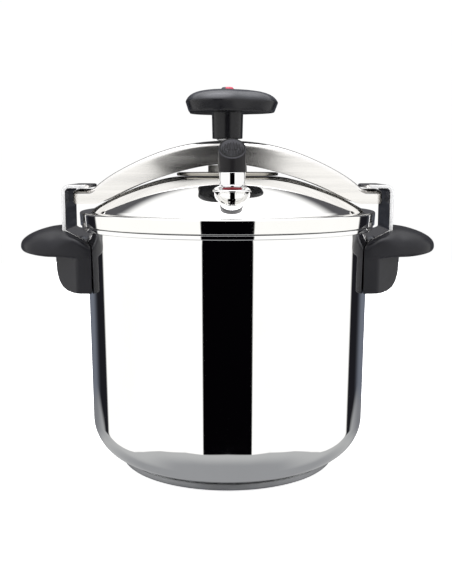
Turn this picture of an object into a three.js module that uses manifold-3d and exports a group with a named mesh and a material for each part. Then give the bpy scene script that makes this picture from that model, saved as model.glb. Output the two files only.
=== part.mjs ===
// Bow-closure stovetop pressure cooker, 24 cm class, about 9 litres.
// Millimetres, +Z up, origin at the centre of the base's underside.
import * as THREE from 'three';
import { mergeVertices } from 'three/addons/utils/BufferGeometryUtils.js';
import Module from 'manifold-3d';

const wasm = await Module();
wasm.setup();

// ---------------------------------------------------------------- dimensions
const SEG_BIG = 48;             // facets round the pot and lid
const SEG_MID = 28;             // facets round knob and disc
const SEG_SMALL = 16;           // facets round valve parts

const WALL = 1.2;               // pot sheet
const POT_R_BOTTOM = 120.8;     // outer radius of the drawn wall at z = 0
const POT_R_SLOPE = 2.4 / 200;  // draft of the wall
const POT_FLOOR_Z = 6.2;        // underside of the pot floor
const POT_CORNER_R = 35;        // outer corner radius at the floor
const RIM_R = 127.5;            // outer radius of the rolled rim
const RIM_TOP_Z = 212.0;

const BASE_R = 96.1;            // steel cap of the sandwich base
const BASE_TOP_Z = 6.0;
const CORE_R = 94.8;            // aluminium core

const LID_T = 1.4;              // lid sheet
const LID_BOTTOM_Z = 212.3;
const LID_OUTER = [             // outer skin, crown to skirt
  [0, 253.8], [45.2, 253.8], [60.4, 250.5], [77.4, 244.6],
  [94.4, 237.8], [111.5, 229.4], [118.3, 225.1], [120.6, 223.8],
  [127.9, 223.7], [128.9, 223.2], [129.3, 222.0], [128.6, LID_BOTTOM_Z],
];
const LID_INNER = [             // inner skin, crown to skirt
  [0, 252.4], [45.0, 252.4], [60.0, 249.1], [76.9, 243.3],
  [93.8, 236.5], [110.8, 228.1], [117.6, 223.8], [120.2, 222.4],
  [127.2, 222.3], [127.9, 221.4], [127.1, 211.0],
];

const VENT_X = 3.6, VENT_Y = -84;       // working valve
const VENT_SEAT_Z = 242.7;              // flat seat pressed in the lid
const SAFE_X = 0, SAFE_Y = 72;          // safety valve
const SAFE_SEAT_Z = 246.6;

const DISC_R = 44.5, DISC_TOP_Z = 257.0, DISC_LOW_Z = 254.1;

const BOW_HALF_W = 26, BOW_T = 3;       // half width and sheet of the bow
const BOW_TOP = [                       // X, Z of the top ridge from the middle to one end
  [0, 284.5], [10.7, 284.1], [22.4, 283.0], [34, 281.4], [42, 279.6], [49, 278.0], [56, 275.8],
  [63, 273.4], [70, 270.5], [77, 267.5], [84.5, 264.1], [91.6, 260.4], [98.7, 256.5], [106, 251.7],
  [113, 246.0], [117, 243.0], [120, 242.9], [131.5, 242.9], [133, 241.4],
];
const BOW_LOW = [                       // lower edge of the side flanges, middle to end
  [0, 264.2], [11, 263.7], [22, 262.0], [33, 259.9], [45, 257.0], [57, 253.6], [68, 249.9], [79, 245.5],
  [91, 240.3], [102, 234.8], [109, 232.1], [116, 230.6], [124, 230.2], [130, 230.4], [132.2, 232.0], [133, 235.0],
];

const HOOK_X = 141.8, HOOK_T = 3.2;     // outer face and sheet of a side hook
const HOOK_HALF_W = 28;
const HOOK_TIP_X = 119;                 // inward end of the hook's top flange
const HOOK_TOP_Z = 246.8;
const WELD_R = 123.7, WELD_LOW_Z = 162; // curved weld plate on the pot wall
const SCREW_Z = 168;                    // handle screw height

const HANDLE_PROFILE = [                // X, Z outline of one handle
  [105, 155.5], [124, 155.3], [131, 155.5], [137, 156.6], [142, 159.3], [145.4, 164.0], [147.8, 171.0],
  [150.3, 181.0], [151.6, 186.2], [166.2, 187.4], [176, 189.2], [180.6, 191.2], [182.5, 194.0], [181.9, 197.0],
  [178.9, 200.8], [174, 203.6], [168, 206.2], [161, 208.4], [155, 209.7], [147.8, 210.6], [142.4, 210.8],
  [140.6, 209.6], [138, 207.4], [121.5, 198.6], [105, 190.5],
];
const WING_CROWN = [                    // Y, Z of the wing's rounded top across its width
  [-50, 150], [50, 150], [50, 193], [48.5, 199.5], [45, 203.6], [40, 206.3], [30, 209.3], [16, 210.9], [0, 211.3],
  [-16, 210.9], [-30, 209.3], [-40, 206.3], [-45, 203.6], [-48.5, 199.5], [-50, 193],
];

const STEM_R_LOW = 13.2, STEM_R_TOP = 13.7, STEM_LOW_Z = 286.0;
const LOBE_C = 15, LOBE_R = 29;         // three-lobed grip: lobe centre distance and radius
const SPINDLE_R = 6.0;

// ---------------------------------------------------------------- helpers
function clean(geometry) {
  let g = geometry.index ? geometry.toNonIndexed() : geometry.clone();
  for (const name of Object.keys(g.attributes)) if (name !== 'position') g.deleteAttribute(name);
  g = mergeVertices(g, 1e-4);
  const p = g.attributes.position, ix = g.index.array, keep = [];
  let volume = 0;
  const a = new THREE.Vector3(), b = new THREE.Vector3(), c = new THREE.Vector3();
  for (let i = 0; i < ix.length; i += 3) {
    const [u, v, w] = [ix[i], ix[i + 1], ix[i + 2]];
    if (u === v || v === w || u === w) continue;
    keep.push(u, v, w);
    a.fromBufferAttribute(p, u); b.fromBufferAttribute(p, v); c.fromBufferAttribute(p, w);
    volume += a.dot(b.cross(c)) / 6;
  }
  if (volume < 0) for (let i = 0; i < keep.length; i += 3) [keep[i], keep[i + 1]] = [keep[i + 1], keep[i]];
  g.setIndex(keep);
  return g;
}
function solid(geometry) {
  const g = clean(geometry);
  return new wasm.Manifold(new wasm.Mesh({
    numProp: 3,
    vertProperties: Float32Array.from(g.attributes.position.array),
    triVerts: Uint32Array.from(g.index.array),
  }));
}
function geometryOf(manifold) {
  const m = manifold.getMesh();
  const g = new THREE.BufferGeometry();
  g.setAttribute('position', new THREE.BufferAttribute(Float32Array.from(m.vertProperties), 3));
  g.setIndex(Array.from(m.triVerts));
  return g;
}
// revolve an (r, z) outline about Z
function revolve(outline, segments) {
  const g = new THREE.LatheGeometry(outline.map(([r, z]) => new THREE.Vector2(r, z)), segments);
  return g.rotateX(Math.PI / 2);
}
const ring = (outline, segments) => revolve([...outline, outline[0]], segments);
// extrude an (x, z) outline along Y, centred
function extrudeXZ(outline, halfWidth) {
  const s = new THREE.Shape(outline.map(([x, z]) => new THREE.Vector2(x, z)));
  const g = new THREE.ExtrudeGeometry(s, { depth: 2 * halfWidth, bevelEnabled: false, curveSegments: 8 });
  return g.translate(0, 0, -halfWidth).rotateX(Math.PI / 2);
}
// extrude an (x, y) outline from z0 to z1
function extrudeXY(outline, z0, z1) {
  const s = new THREE.Shape(outline.map(([x, y]) => new THREE.Vector2(x, y)));
  return new THREE.ExtrudeGeometry(s, { depth: z1 - z0, bevelEnabled: false }).translate(0, 0, z0);
}
function cylinderZ(r, z0, z1, x = 0, y = 0, segments = SEG_SMALL) {
  return new THREE.CylinderGeometry(r, r, z1 - z0, segments).rotateX(Math.PI / 2).translate(x, y, (z0 + z1) / 2);
}
function cylinderX(r, x0, x1, z, segments = SEG_SMALL) {
  return new THREE.CylinderGeometry(r, r, x1 - x0, segments).rotateZ(Math.PI / 2).translate((x0 + x1) / 2, 0, z);
}
function box(x0, y0, z0, x1, y1, z1) {
  return new THREE.BoxGeometry(x1 - x0, y1 - y0, z1 - z0).translate((x0 + x1) / 2, (y0 + y1) / 2, (z0 + z1) / 2);
}
function arc(cx, cz, r, a0, a1, n) {
  const out = [];
  for (let i = 0; i <= n; i++) {
    const t = (a0 + (a1 - a0) * i / n) * Math.PI / 180;
    out.push([cx + r * Math.cos(t), cz + r * Math.sin(t)]);
  }
  return out;
}
// hexagonal nut about Z with a round bore
function hexNut(cornerR, boreR, z0, z1) {
  const s = new THREE.Shape();
  for (let i = 0; i < 6; i++) {
    const t = i * Math.PI / 3;
    if (i === 0) s.moveTo(cornerR * Math.cos(t), cornerR * Math.sin(t));
    else s.lineTo(cornerR * Math.cos(t), cornerR * Math.sin(t));
  }
  s.closePath();
  const hole = new THREE.Path();
  hole.absarc(0, 0, boreR, 0, 2 * Math.PI, true);
  s.holes.push(hole);
  return new THREE.ExtrudeGeometry(s, { depth: z1 - z0, bevelEnabled: false, curveSegments: 8 }).translate(0, 0, z0);
}
// closed helical spring of round wire
class Helix extends THREE.Curve {
  constructor(radius, z0, z1, turns) { super(); Object.assign(this, { radius, z0, z1, turns }); }
  getPoint(t, target = new THREE.Vector3()) {
    const a = 2 * Math.PI * this.turns * t;
    return target.set(this.radius * Math.cos(a), this.radius * Math.sin(a), this.z0 + (this.z1 - this.z0) * t);
  }
}
function spring(radius, wire, z0, z1, turns) {
  const s = new THREE.Shape();
  for (let i = 0; i < 6; i++) {
    const t = i * Math.PI / 3;
    if (i === 0) s.moveTo(wire * Math.cos(t), wire * Math.sin(t));
    else s.lineTo(wire * Math.cos(t), wire * Math.sin(t));
  }
  s.closePath();
  return new THREE.ExtrudeGeometry(s, { steps: Math.round(turns * 10), bevelEnabled: false, extrudePath: new Helix(radius, z0, z1, turns) });
}

const steel = (roughness = 0.12, color = 0xd8d8da) => new THREE.MeshStandardMaterial({ color, roughness, metalness: 1 });
const plastic = (color = 0x222226, roughness = 0.45) => new THREE.MeshStandardMaterial({ color, roughness, metalness: 0 });
const rubber = (color) => new THREE.MeshStandardMaterial({ color, roughness: 0.8, metalness: 0 });
function part(name, geometry, material) {
  const m = new THREE.Mesh(clean(geometry), material);
  m.name = name;
  return m;
}

const cooker = new THREE.Group();

// ---------------------------------------------------------------- pot and base
const wallR = (z) => POT_R_BOTTOM + POT_R_SLOPE * z;
const cornerTopZ = POT_FLOOR_Z + POT_CORNER_R;
const cornerC = wallR(cornerTopZ) - POT_CORNER_R;
const potOutline = [
  [0, POT_FLOOR_Z],
  ...arc(cornerC, cornerTopZ, POT_CORNER_R, -90, 0, 6),
  [wallR(206), 206],
  [123.7, 208.6], [124.8, 210.4], [126.1, 210.4], [126.3, 208.4], [126.9, 208.1], [127.4, 208.6],
  [RIM_R, 210.6], [127.1, 211.6], [126.2, RIM_TOP_Z], [123.6, RIM_TOP_Z], [122.7, 211.2],
  [wallR(206) - WALL, 206],
  ...arc(cornerC, cornerTopZ, POT_CORNER_R - WALL, 0, -90, 6),
  [0, POT_FLOOR_Z + WALL],
];
cooker.add(part('pot_body', revolve(potOutline, SEG_BIG), steel(0.06)));
cooker.add(part('base_core', revolve([
  [0, 1.1], [92.0, 1.1], [94.0, 2.3], [CORE_R, 3.4], [CORE_R, 5.9], [0, 5.9],
], SEG_BIG), new THREE.MeshStandardMaterial({ color: 0xb5b7ba, roughness: 0.5, metalness: 1 })));
cooker.add(part('base_cap', revolve([
  [0, 0], [92.6, 0], [94.9, 0.7], [95.9, 2.2], [BASE_R, 3.4], [BASE_R, BASE_TOP_Z], [95.3, BASE_TOP_Z],
  [95.3, 3.2], [94.6, 1.7], [92.4, 0.9], [0, 0.9],
], SEG_BIG), steel(0.25)));

// ---------------------------------------------------------------- side hooks and handles
const slope = Math.tan(28 * Math.PI / 180);
const legOut = (x) => 206.0 - (HOOK_X - x) * slope;            // outer (lower) face of the leg
const legIn = (x) => legOut(x) + HOOK_T / Math.cos(28 * Math.PI / 180);
const hookOutline = [
  [HOOK_TIP_X, HOOK_TOP_Z],
  ...arc(HOOK_X - 6.5, HOOK_TOP_Z - 6.5, 6.5, 90, 0, 5),
  [HOOK_X, 207.4], [HOOK_X - 0.7, legOut(HOOK_X - 0.7)],
  [121.0, legOut(121.0)], [121.0, legIn(121.0)],
  [HOOK_X - HOOK_T, legIn(HOOK_X - HOOK_T)],
  ...arc(HOOK_X - 6.5, HOOK_TOP_Z - 6.5, 6.5 - HOOK_T, 0, 90, 5),
  [HOOK_TIP_X, HOOK_TOP_Z - HOOK_T],
];
const hookPlan = [                                             // rounded corners at the inward end
  ...arc(HOOK_TIP_X + 5, -HOOK_HALF_W + 5, 5, 270, 180, 4), ...arc(HOOK_TIP_X + 5, HOOK_HALF_W - 5, 5, 180, 90, 4),
  [150, HOOK_HALF_W], [150, -HOOK_HALF_W]];
function makeHook() {
  const lower = solid(cylinderZ(WELD_R, 150, 215, 0, 0, 72));
  let m = solid(extrudeXZ(hookOutline, HOOK_HALF_W)).intersect(solid(extrudeXY(hookPlan, 150, 260)));
  const plate = solid(cylinderZ(WELD_R + HOOK_T, WELD_LOW_Z, 198.6, 0, 0, 72))
    .intersect(solid(box(100, -HOOK_HALF_W, 100, 140, HOOK_HALF_W, 260)));
  m = m.add(plate).subtract(lower);
  m = m.subtract(solid(cylinderX(3.0, 110, 140, SCREW_Z)));
  return geometryOf(m);
}
const mirrored = (half) => [...half.map(([x, y]) => [x, -y]), ...half.slice(0, -1).reverse()];
const wingPlan = mirrored([
  [105, 46.6], [118, 46.3], [130, 45.2], [145, 43.2], [156.5, 40.2], [166, 36], [174, 29], [179.4, 19], [182, 9], [182.6, 0],
]);
const blockPlan = mirrored([
  [105, 46.5], [113, 46.5], [127.5, 45.2], [137.5, 35.5], [147.5, 26], [150.6, 14], [151.8, 0],
]);
function makeHandle() {
  const body = solid(extrudeXZ(HANDLE_PROFILE, 50));
  const crown = solid(extrudeXZ(WING_CROWN, 200).rotateZ(Math.PI / 2));
  const wing = body.intersect(solid(extrudeXY(wingPlan, 185, 230))).intersect(crown);
  const block = body.intersect(solid(extrudeXY(blockPlan, 140, 187)));
  let m = wing.add(block);
  m = m.subtract(solid(cylinderZ(WELD_R, 130, 260, 0, 0, 72)));
  m = m.subtract(solid(cylinderZ(WELD_R + HOOK_T + 0.4, WELD_LOW_Z - 0.6, 199, 0, 0, 72))
    .intersect(solid(box(100, -HOOK_HALF_W - 0.5, 100, 140, HOOK_HALF_W + 0.5, 260))));
  const legCut = [
    [HOOK_X + 0.4, 230], [HOOK_X + 0.4, 206.2], [HOOK_X - 0.4, legOut(HOOK_X - 0.4) - 0.5],
    [112, legOut(112) - 0.5], [112, 230],
  ];
  m = m.subtract(solid(extrudeXZ(legCut, HOOK_HALF_W + 0.5)));
  m = m.subtract(solid(cylinderX(3.0, 110, 145, SCREW_Z)));
  m = m.subtract(solid(cylinderX(4.8, 141.2, 170, SCREW_Z)));
  return geometryOf(m);
}
function makeHandleScrew() {
  const g = revolve([
    [0, 124.3], [2.4, 124.3], [2.6, 124.8], [2.6, 141.5], [4.2, 141.5], [4.2, 143.4], [3.4, 144.5], [1.9, 144.5], [1.9, 142.6], [0, 142.6],
  ], SEG_SMALL);
  return g.rotateY(Math.PI / 2).translate(0, 0, SCREW_Z);
}
for (const [side, turn] of [['right', 0], ['left', Math.PI]]) {
  const g = new THREE.Group();
  g.rotation.z = turn;
  g.add(part(`${side}_bracket`, makeHook(), steel(0.22)));
  g.add(part(`${side}_handle`, makeHandle(), plastic()));
  g.add(part(`${side}_handle_screw`, makeHandleScrew(), steel(0.3)));
  cooker.add(g);
}

// ---------------------------------------------------------------- lid
{
  let outer = solid(revolve([...LID_OUTER, [0, LID_BOTTOM_Z]], SEG_BIG));
  let inner = solid(revolve([...LID_INNER, [0, 211.0]], SEG_BIG));
  for (const [x, y, z, bossR, recessR] of [[VENT_X, VENT_Y, VENT_SEAT_Z, 10.2, 15.2], [SAFE_X, SAFE_Y, SAFE_SEAT_Z, 8.6, 9.4]]) {
    outer = outer.add(solid(cylinderZ(bossR, 220, z, x, y, 20))).subtract(solid(cylinderZ(recessR, z, 275, x, y, 20)));
    inner = inner.add(solid(cylinderZ(bossR - LID_T, 211.5, z - LID_T, x, y, 20)))
      .subtract(solid(cylinderZ(recessR + LID_T, z - LID_T, 275, x, y, 20)));
  }
  const lid = outer.subtract(inner)
    .subtract(solid(cylinderZ(5.3, 200, 275, VENT_X, VENT_Y)))
    .subtract(solid(cylinderZ(4.3, 200, 275, SAFE_X, SAFE_Y)));
  cooker.add(part('lid', geometryOf(lid), steel(0.05)));
}
cooker.add(part('lid_gasket', ring([
  [123.0, 212.45], [126.2, 212.45], [127.0, 220.6], [126.4, 221.8], [120.6, 221.8], [118.9, 221.0],
  [118.2, 216.0], [119.2, 215.7], [120.4, 219.2], [122.2, 219.6],
], SEG_BIG), rubber(0x3a3a3c)));
cooker.add(part('pressure_disc', revolve([
  [0, DISC_LOW_Z], [43.4, DISC_LOW_Z], [DISC_R, 254.8], [DISC_R, 256.2], [43.4, DISC_TOP_Z], [0, DISC_TOP_Z],
], SEG_MID), steel(0.35)));
cooker.add(part('spindle_retainer', ring([
  [12.6, 257.3], [17, 257.3], [17, 262.4], [16.2, 263.2], [9.1, 263.2], [9.1, 262.0], [12.6, 262.0],
], SEG_MID), steel(0.3)));

// ---------------------------------------------------------------- bow
{
  const mirror = (pts) => pts.slice(1).reverse().map(([x, z]) => [-x, z]);
  const top = [...mirror(BOW_TOP), ...BOW_TOP];
  const low = [...mirror(BOW_LOW), ...BOW_LOW];
  const outline = [...top, ...[...low].reverse()];
  const roof = BOW_TOP.filter(([x]) => x < 127).map(([x, z]) => [x, z - BOW_T - 0.0012 * x * (x < 112 ? 6 : 0)]);
  const inside = [[130, 200], [130, 238.6], [128.8, 239.8], ...[...roof].reverse(), ...roof.slice(1).map(([x, z]) => [-x, z]),
    [-128.8, 239.8], [-130, 238.6], [-130, 200]];
  let bow = solid(extrudeXZ(outline, BOW_HALF_W)).subtract(solid(extrudeXZ(inside, BOW_HALF_W - BOW_T)));
  bow = bow.subtract(solid(cylinderZ(8.8, 270, 300, 0, 0, 20)));
  cooker.add(part('bow', geometryOf(bow), steel(0.3)));
}
cooker.add(part('bow_nut', ring([
  [6.5, 266.6], [10.2, 266.6], [10.2, 276.8], [13.2, 277.2], [13.2, 280.4], [8.4, 280.4], [8.4, 284.4], [6.5, 284.4],
], 20), steel(0.35)));

// ---------------------------------------------------------------- knob, spindle and thrust pad
const support = (t) => LOBE_R + LOBE_C * Math.max(Math.cos(t), Math.cos(t - 2 * Math.PI / 3), Math.cos(t + 2 * Math.PI / 3));
function gripRadius(phi) {                                     // plan radius of the three-lobed grip
  let best = 1e9;
  for (let i = -60; i <= 60; i++) {
    const t = phi + i * Math.PI / 150;
    best = Math.min(best, support(t) / Math.cos(t - phi));
  }
  const between = 0.5 - 0.5 * Math.cos(3 * phi);
  return best * (1 - 0.035 * between * between);
}
{
  // [radius or share of the grip's radius, z, share flag]
  const rows = [
    [6.5, STEM_LOW_Z, 0], [STEM_R_LOW, STEM_LOW_Z, 0], [STEM_R_TOP, 307.0, 0], [14.7, 307.9, 0],
    [0.86, 308.3, 1], [0.925, 308.9, 1], [0.985, 315.4, 1], [1.0, 316.6, 1], [0.985, 318.6, 1], [0.93, 321.2, 1],
    [0.80, 324.0, 1], [0.58, 326.2, 1], [0.32, 327.6, 1], [6.1, 328.0, 0],
    [6.1, 321.4, 0], [3.3, 321.4, 0], [3.3, 317.9, 0], [6.5, 317.9, 0],
  ];
  const g = ring(rows.map(([r, z, share]) => [share ? r * 100 : r, z]), 36);
  const p = g.attributes.position;
  for (let i = 0; i < p.count; i++) {
    const x = p.getX(i), y = p.getY(i), r = Math.hypot(x, y);
    if (r < 20) continue;
    const k = gripRadius(Math.atan2(y, x)) / 100;
    p.setXY(i, x * k, y * k);
  }
  cooker.add(part('knob', g, plastic()));
}
cooker.add(part('knob_badge', revolve([
  [0, 325.2], [5.6, 325.2], [5.6, 328.4], [4.9, 329.6], [3.0, 330.2], [0, 330.3],
], SEG_SMALL), plastic(0xb8283c, 0.35)));
cooker.add(part('knob_screw', revolve([
  [0, 307.4], [2.8, 307.4], [2.8, 321.8], [5.0, 321.8], [5.0, 324.0], [4.2, 324.8], [0, 324.8],
], SEG_SMALL), steel(0.3)));
cooker.add(part('spindle', revolve([
  [0, 259.7], [4.6, 259.7], [SPINDLE_R, 261.0], [SPINDLE_R, 316.6], [5.2, 317.4], [3.2, 317.4], [3.2, 306.4], [0, 306.4],
], SEG_SMALL), steel(0.3)));
cooker.add(part('spindle_washer', ring([[6.6, 284.85], [9.2, 284.85], [9.2, 285.75], [6.6, 285.75]], SEG_SMALL), steel(0.25)));
cooker.add(part('thrust_pad', revolve([
  [0, 257.4], [11.2, 257.4], [12.1, 258.2], [12.1, 261.6], [8.5, 261.6], [8.5, 264.2], [6.5, 264.2], [6.5, 259.4], [0, 259.4],
], SEG_MID), steel(0.3)));

// ---------------------------------------------------------------- working valve
{
  const v = new THREE.Group();
  v.position.set(VENT_X, VENT_Y, 0);
  v.add(part('vent_pipe', ring([
    [1.7, 226.0], [4.8, 226.0], [4.8, 242.9], [13.2, 242.9], [14.4, 243.6], [13.8, 244.3], [3.3, 244.3], [3.3, 260.9], [2.7, 261.5], [1.7, 261.5],
  ], SEG_SMALL), steel(0.1)));
  v.add(part('valve_ring', ring([[3.7, 244.5], [7.9, 244.5], [7.9, 245.7], [3.7, 245.7]], SEG_SMALL), rubber(0x9c2a35)));
  v.add(part('valve_body', ring([
    [3.8, 245.9], [7.8, 245.9], [10.2, 247.7], [10.7, 248.8], [10.7, 258.0], [7.1, 258.0], [7.1, 252.2], [3.8, 252.2],
  ], 20), steel(0.04)));
  {
    let cap = solid(revolve([[0, 253.6], [6.8, 253.6], [6.8, 258.2], [10.4, 258.2], [10.8, 258.8], [10.8, 290], [0, 290]], 20))
      .subtract(solid(cylinderZ(4.9, 250, 270.6)));
    const slant = box(-30, -30, 0, 30, 30, 40).rotateX(Math.atan2(284.5 - 268.8, 21.6)).translate(0, 0, (284.5 + 268.8) / 2);
    cap = cap.subtract(solid(slant));
    v.add(part('valve_cap', geometryOf(cap), plastic()));
  }
  v.add(part('valve_needle', revolve([
    [0, 259.8], [0.5, 259.8], [1.3, 261.2], [1.3, 262.6], [4.4, 262.6], [4.4, 264.0], [1.5, 264.0], [1.5, 268.0], [0, 268.0],
  ], SEG_SMALL), steel(0.25)));
  v.add(part('valve_spring', spring(3.1, 0.45, 264.6, 269.9, 4), steel(0.3)));
  v.add(part('vent_gasket', ring([[5.0, 240.2], [8.3, 240.2], [8.3, 241.15], [5.0, 241.15]], SEG_SMALL), rubber(0x3a3a3c)));
  v.add(part('vent_nut', hexNut(8.3, 5.0, 234.8, 240.05), steel(0.3)));
  cooker.add(v);
}

// ---------------------------------------------------------------- safety valve
{
  const s = new THREE.Group();
  s.position.set(SAFE_X, SAFE_Y, 0);
  s.add(part('safety_body', ring([
    [1.9, 236.5], [3.9, 236.5], [3.9, 246.8], [8.0, 246.8], [8.0, 248.6], [7.2, 249.2], [6.4, 249.2], [6.4, 253.4], [5.8, 254.1],
    [1.9, 254.1], [1.9, 253.0], [4.4, 253.0], [4.4, 248.4], [1.9, 248.4],
  ], SEG_SMALL), steel(0.25, 0xc9a45a)));
  s.add(part('safety_plunger', revolve([
    [0, 237.2], [1.4, 237.2], [1.4, 248.7], [3.9, 248.7], [3.9, 249.6], [1.4, 249.6], [1.4, 255.0], [1.0, 255.4], [0, 255.4],
  ], SEG_SMALL), steel(0.25)));
  s.add(part('safety_spring', spring(2.85, 0.4, 250.2, 252.4, 2.5), steel(0.3)));
  s.add(part('safety_gasket', ring([[4.1, 244.1], [6.9, 244.1], [6.9, 245.05], [4.1, 245.05]], SEG_SMALL), rubber(0x3a3a3c)));
  s.add(part('safety_nut', hexNut(6.9, 4.1, 239.2, 243.95), steel(0.3)));
  cooker.add(s);
}

export default cooker;
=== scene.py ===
import math
import bpy
import bmesh
import numpy as np
from mathutils import Vector, Matrix


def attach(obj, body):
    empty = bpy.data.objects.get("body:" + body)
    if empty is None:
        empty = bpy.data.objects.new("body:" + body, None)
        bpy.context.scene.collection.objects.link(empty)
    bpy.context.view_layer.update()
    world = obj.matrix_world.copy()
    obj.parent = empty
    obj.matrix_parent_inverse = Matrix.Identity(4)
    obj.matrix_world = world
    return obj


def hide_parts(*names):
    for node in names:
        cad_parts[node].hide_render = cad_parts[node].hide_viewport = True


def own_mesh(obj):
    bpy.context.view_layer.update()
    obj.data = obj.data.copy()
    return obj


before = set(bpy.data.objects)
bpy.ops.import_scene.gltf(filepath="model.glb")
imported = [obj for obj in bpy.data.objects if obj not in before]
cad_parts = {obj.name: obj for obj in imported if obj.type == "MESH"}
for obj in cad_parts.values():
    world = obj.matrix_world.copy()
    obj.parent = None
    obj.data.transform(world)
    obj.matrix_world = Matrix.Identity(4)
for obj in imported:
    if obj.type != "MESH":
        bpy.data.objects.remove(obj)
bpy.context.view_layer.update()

MM = 0.001


# ------------------------------------------------------------------ node helpers
class Mat:
    """A small builder for procedural materials."""

    def __init__(self, name):
        self.m = bpy.data.materials.new(name)
        self.m.use_nodes = True
        self.nt = self.m.node_tree
        self.nt.nodes.clear()
        self.out = self.nt.nodes.new("ShaderNodeOutputMaterial")
        self.p = self.nt.nodes.new("ShaderNodeBsdfPrincipled")
        self.link(self.p.outputs[0], self.out.inputs[0])

    def link(self, a, b):
        self.nt.links.new(a, b)

    def node(self, kind, **kw):
        n = self.nt.nodes.new(kind)
        for k, v in kw.items():
            setattr(n, k, v)
        return n

    def set(self, **kw):
        names = {"base": "Base Color", "metal": "Metallic", "rough": "Roughness", "ior": "IOR", "coat": "Coat Weight",
                 "coat_rough": "Coat Roughness", "aniso": "Anisotropic", "spec": "Specular IOR Level", "sheen": "Sheen Weight",
                 "trans": "Transmission Weight", "sss": "Subsurface Weight", "aniso_rot": "Anisotropic Rotation"}
        for k, v in kw.items():
            s = self.p.inputs[names[k]]
            if hasattr(v, "is_output"):
                self.link(v, s)
            else:
                s.default_value = (*v, 1) if k == "base" else v
        return self

    def coords(self, scale=(1, 1, 1), kind="Object", rot=(0, 0, 0), loc=(0, 0, 0)):
        tc = self.node("ShaderNodeTexCoord")
        mp = self.node("ShaderNodeMapping")
        mp.inputs["Scale"].default_value = scale
        mp.inputs["Rotation"].default_value = rot
        mp.inputs["Location"].default_value = loc
        self.link(tc.outputs[kind], mp.inputs[0])
        return mp.outputs[0]

    def polar(self, centre=(0, 0), scale=(1, 1, 1)):
        """(angle, radius, z) about a vertical axis, each scaled: grain that runs round or down a turned piece."""
        tc = self.node("ShaderNodeTexCoord")
        sep = self.node("ShaderNodeSeparateXYZ")
        self.link(tc.outputs["Object"], sep.inputs[0])
        x = self.math("SUBTRACT", sep.outputs[0], centre[0])
        y = self.math("SUBTRACT", sep.outputs[1], centre[1])
        a = self.math("ARCTAN2", y, x)
        r = self.math("SQRT", self.math("ADD", self.math("MULTIPLY", x, x), self.math("MULTIPLY", y, y)))
        c = self.node("ShaderNodeCombineXYZ")
        self.link(self.math("MULTIPLY", a, scale[0]), c.inputs[0])
        self.link(self.math("MULTIPLY", r, scale[1]), c.inputs[1])
        self.link(self.math("MULTIPLY", sep.outputs[2], scale[2]), c.inputs[2])
        return c.outputs[0]

    def math(self, op, a, b=None, c=None, clamp=False):
        n = self.node("ShaderNodeMath", operation=op, use_clamp=clamp)
        for i, v in enumerate((a, b, c)):
            if v is None:
                continue
            if hasattr(v, "is_output"):
                self.link(v, n.inputs[i])
            else:
                n.inputs[i].default_value = v
        return n.outputs[0]

    def noise(self, vec, scale=5.0, detail=3.0, rough=0.5, distort=0.0):
        n = self.node("ShaderNodeTexNoise")
        n.inputs["Scale"].default_value = scale
        n.inputs["Detail"].default_value = detail
        n.inputs["Roughness"].default_value = rough
        n.inputs["Distortion"].default_value = distort
        self.link(vec, n.inputs["Vector"])
        return n.outputs[0]

    def ramp(self, fac, lo, hi, a=0.3, b=0.7):
        """Grey value between lo and hi as fac goes from a to b."""
        n = self.node("ShaderNodeMapRange")
        n.inputs["From Min"].default_value = a
        n.inputs["From Max"].default_value = b
        n.inputs["To Min"].default_value = lo
        n.inputs["To Max"].default_value = hi
        self.link(fac, n.inputs["Value"])
        return n.outputs[0]

    def mix(self, fac, c1, c2):
        n = self.node("ShaderNodeMix", data_type="RGBA")
        self.link(fac, n.inputs[0])
        for i, c in ((6, c1), (7, c2)):
            if hasattr(c, "is_output"):
                self.link(c, n.inputs[i])
            else:
                n.inputs[i].default_value = (*c, 1)
        return n.outputs[2]

    def bump(self, height, strength=0.1, distance=0.0002):
        n = self.node("ShaderNodeBump")
        n.inputs["Strength"].default_value = strength
        n.inputs["Distance"].default_value = distance
        self.link(height, n.inputs["Height"])
        self.link(n.outputs[0], self.p.inputs["Normal"])
        return self


def mirror_steel(name, tint=(0.90, 0.90, 0.905), rough=(0.02, 0.06), turn_axis=None, grain=0.015):
    """Polished stainless: faint wipe marks in the roughness and a very fine polishing grain."""
    m = Mat(name)
    wipe = m.noise(m.coords((9, 9, 4)), 2.2, 5, 0.55, 0.6)
    fine = m.noise(m.polar((0, 0), (3, 60, 900)) if turn_axis is None else m.polar(turn_axis, (2, 60, 1500)), 1.0, 2, 0.5)
    m.set(metal=1.0, base=m.mix(m.ramp(wipe, 0, 1, 0.35, 0.7), tint, tuple(0.965 * t for t in tint)),
          rough=m.math("ADD", m.ramp(wipe, rough[0], rough[1], 0.35, 0.75), m.ramp(fine, 0.0, 0.012, 0.3, 0.7)))
    m.bump(fine, grain, 0.00004)
    return m.m


def brushed_steel(name, tint=(0.80, 0.79, 0.775), rough=(0.2, 0.34), scale=(14, 700, 700), strength=0.22, kind="Object"):
    """Brushed stainless: long fine scratches along one axis."""
    m = Mat(name)
    v = m.coords(scale, kind)
    lines = m.noise(v, 1.0, 4, 0.62)
    wide = m.noise(m.coords((scale[0] * 0.4, scale[1] * 0.06, scale[2] * 0.06), kind), 1.0, 3, 0.5)
    cloud = m.noise(m.coords((22, 22, 22)), 1.0, 3, 0.5)
    c = m.mix(m.ramp(lines, 0, 1, 0.3, 0.7), tint, tuple(0.86 * t for t in tint))
    m.set(metal=1.0, base=c, rough=m.math("ADD", m.ramp(lines, rough[0], rough[1], 0.3, 0.7), m.ramp(cloud, -0.02, 0.04, 0.3, 0.7)), aniso=0.35)
    m.bump(m.math("ADD", lines, m.math("MULTIPLY", wide, 0.6)), strength, 0.00006)
    return m.m


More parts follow.
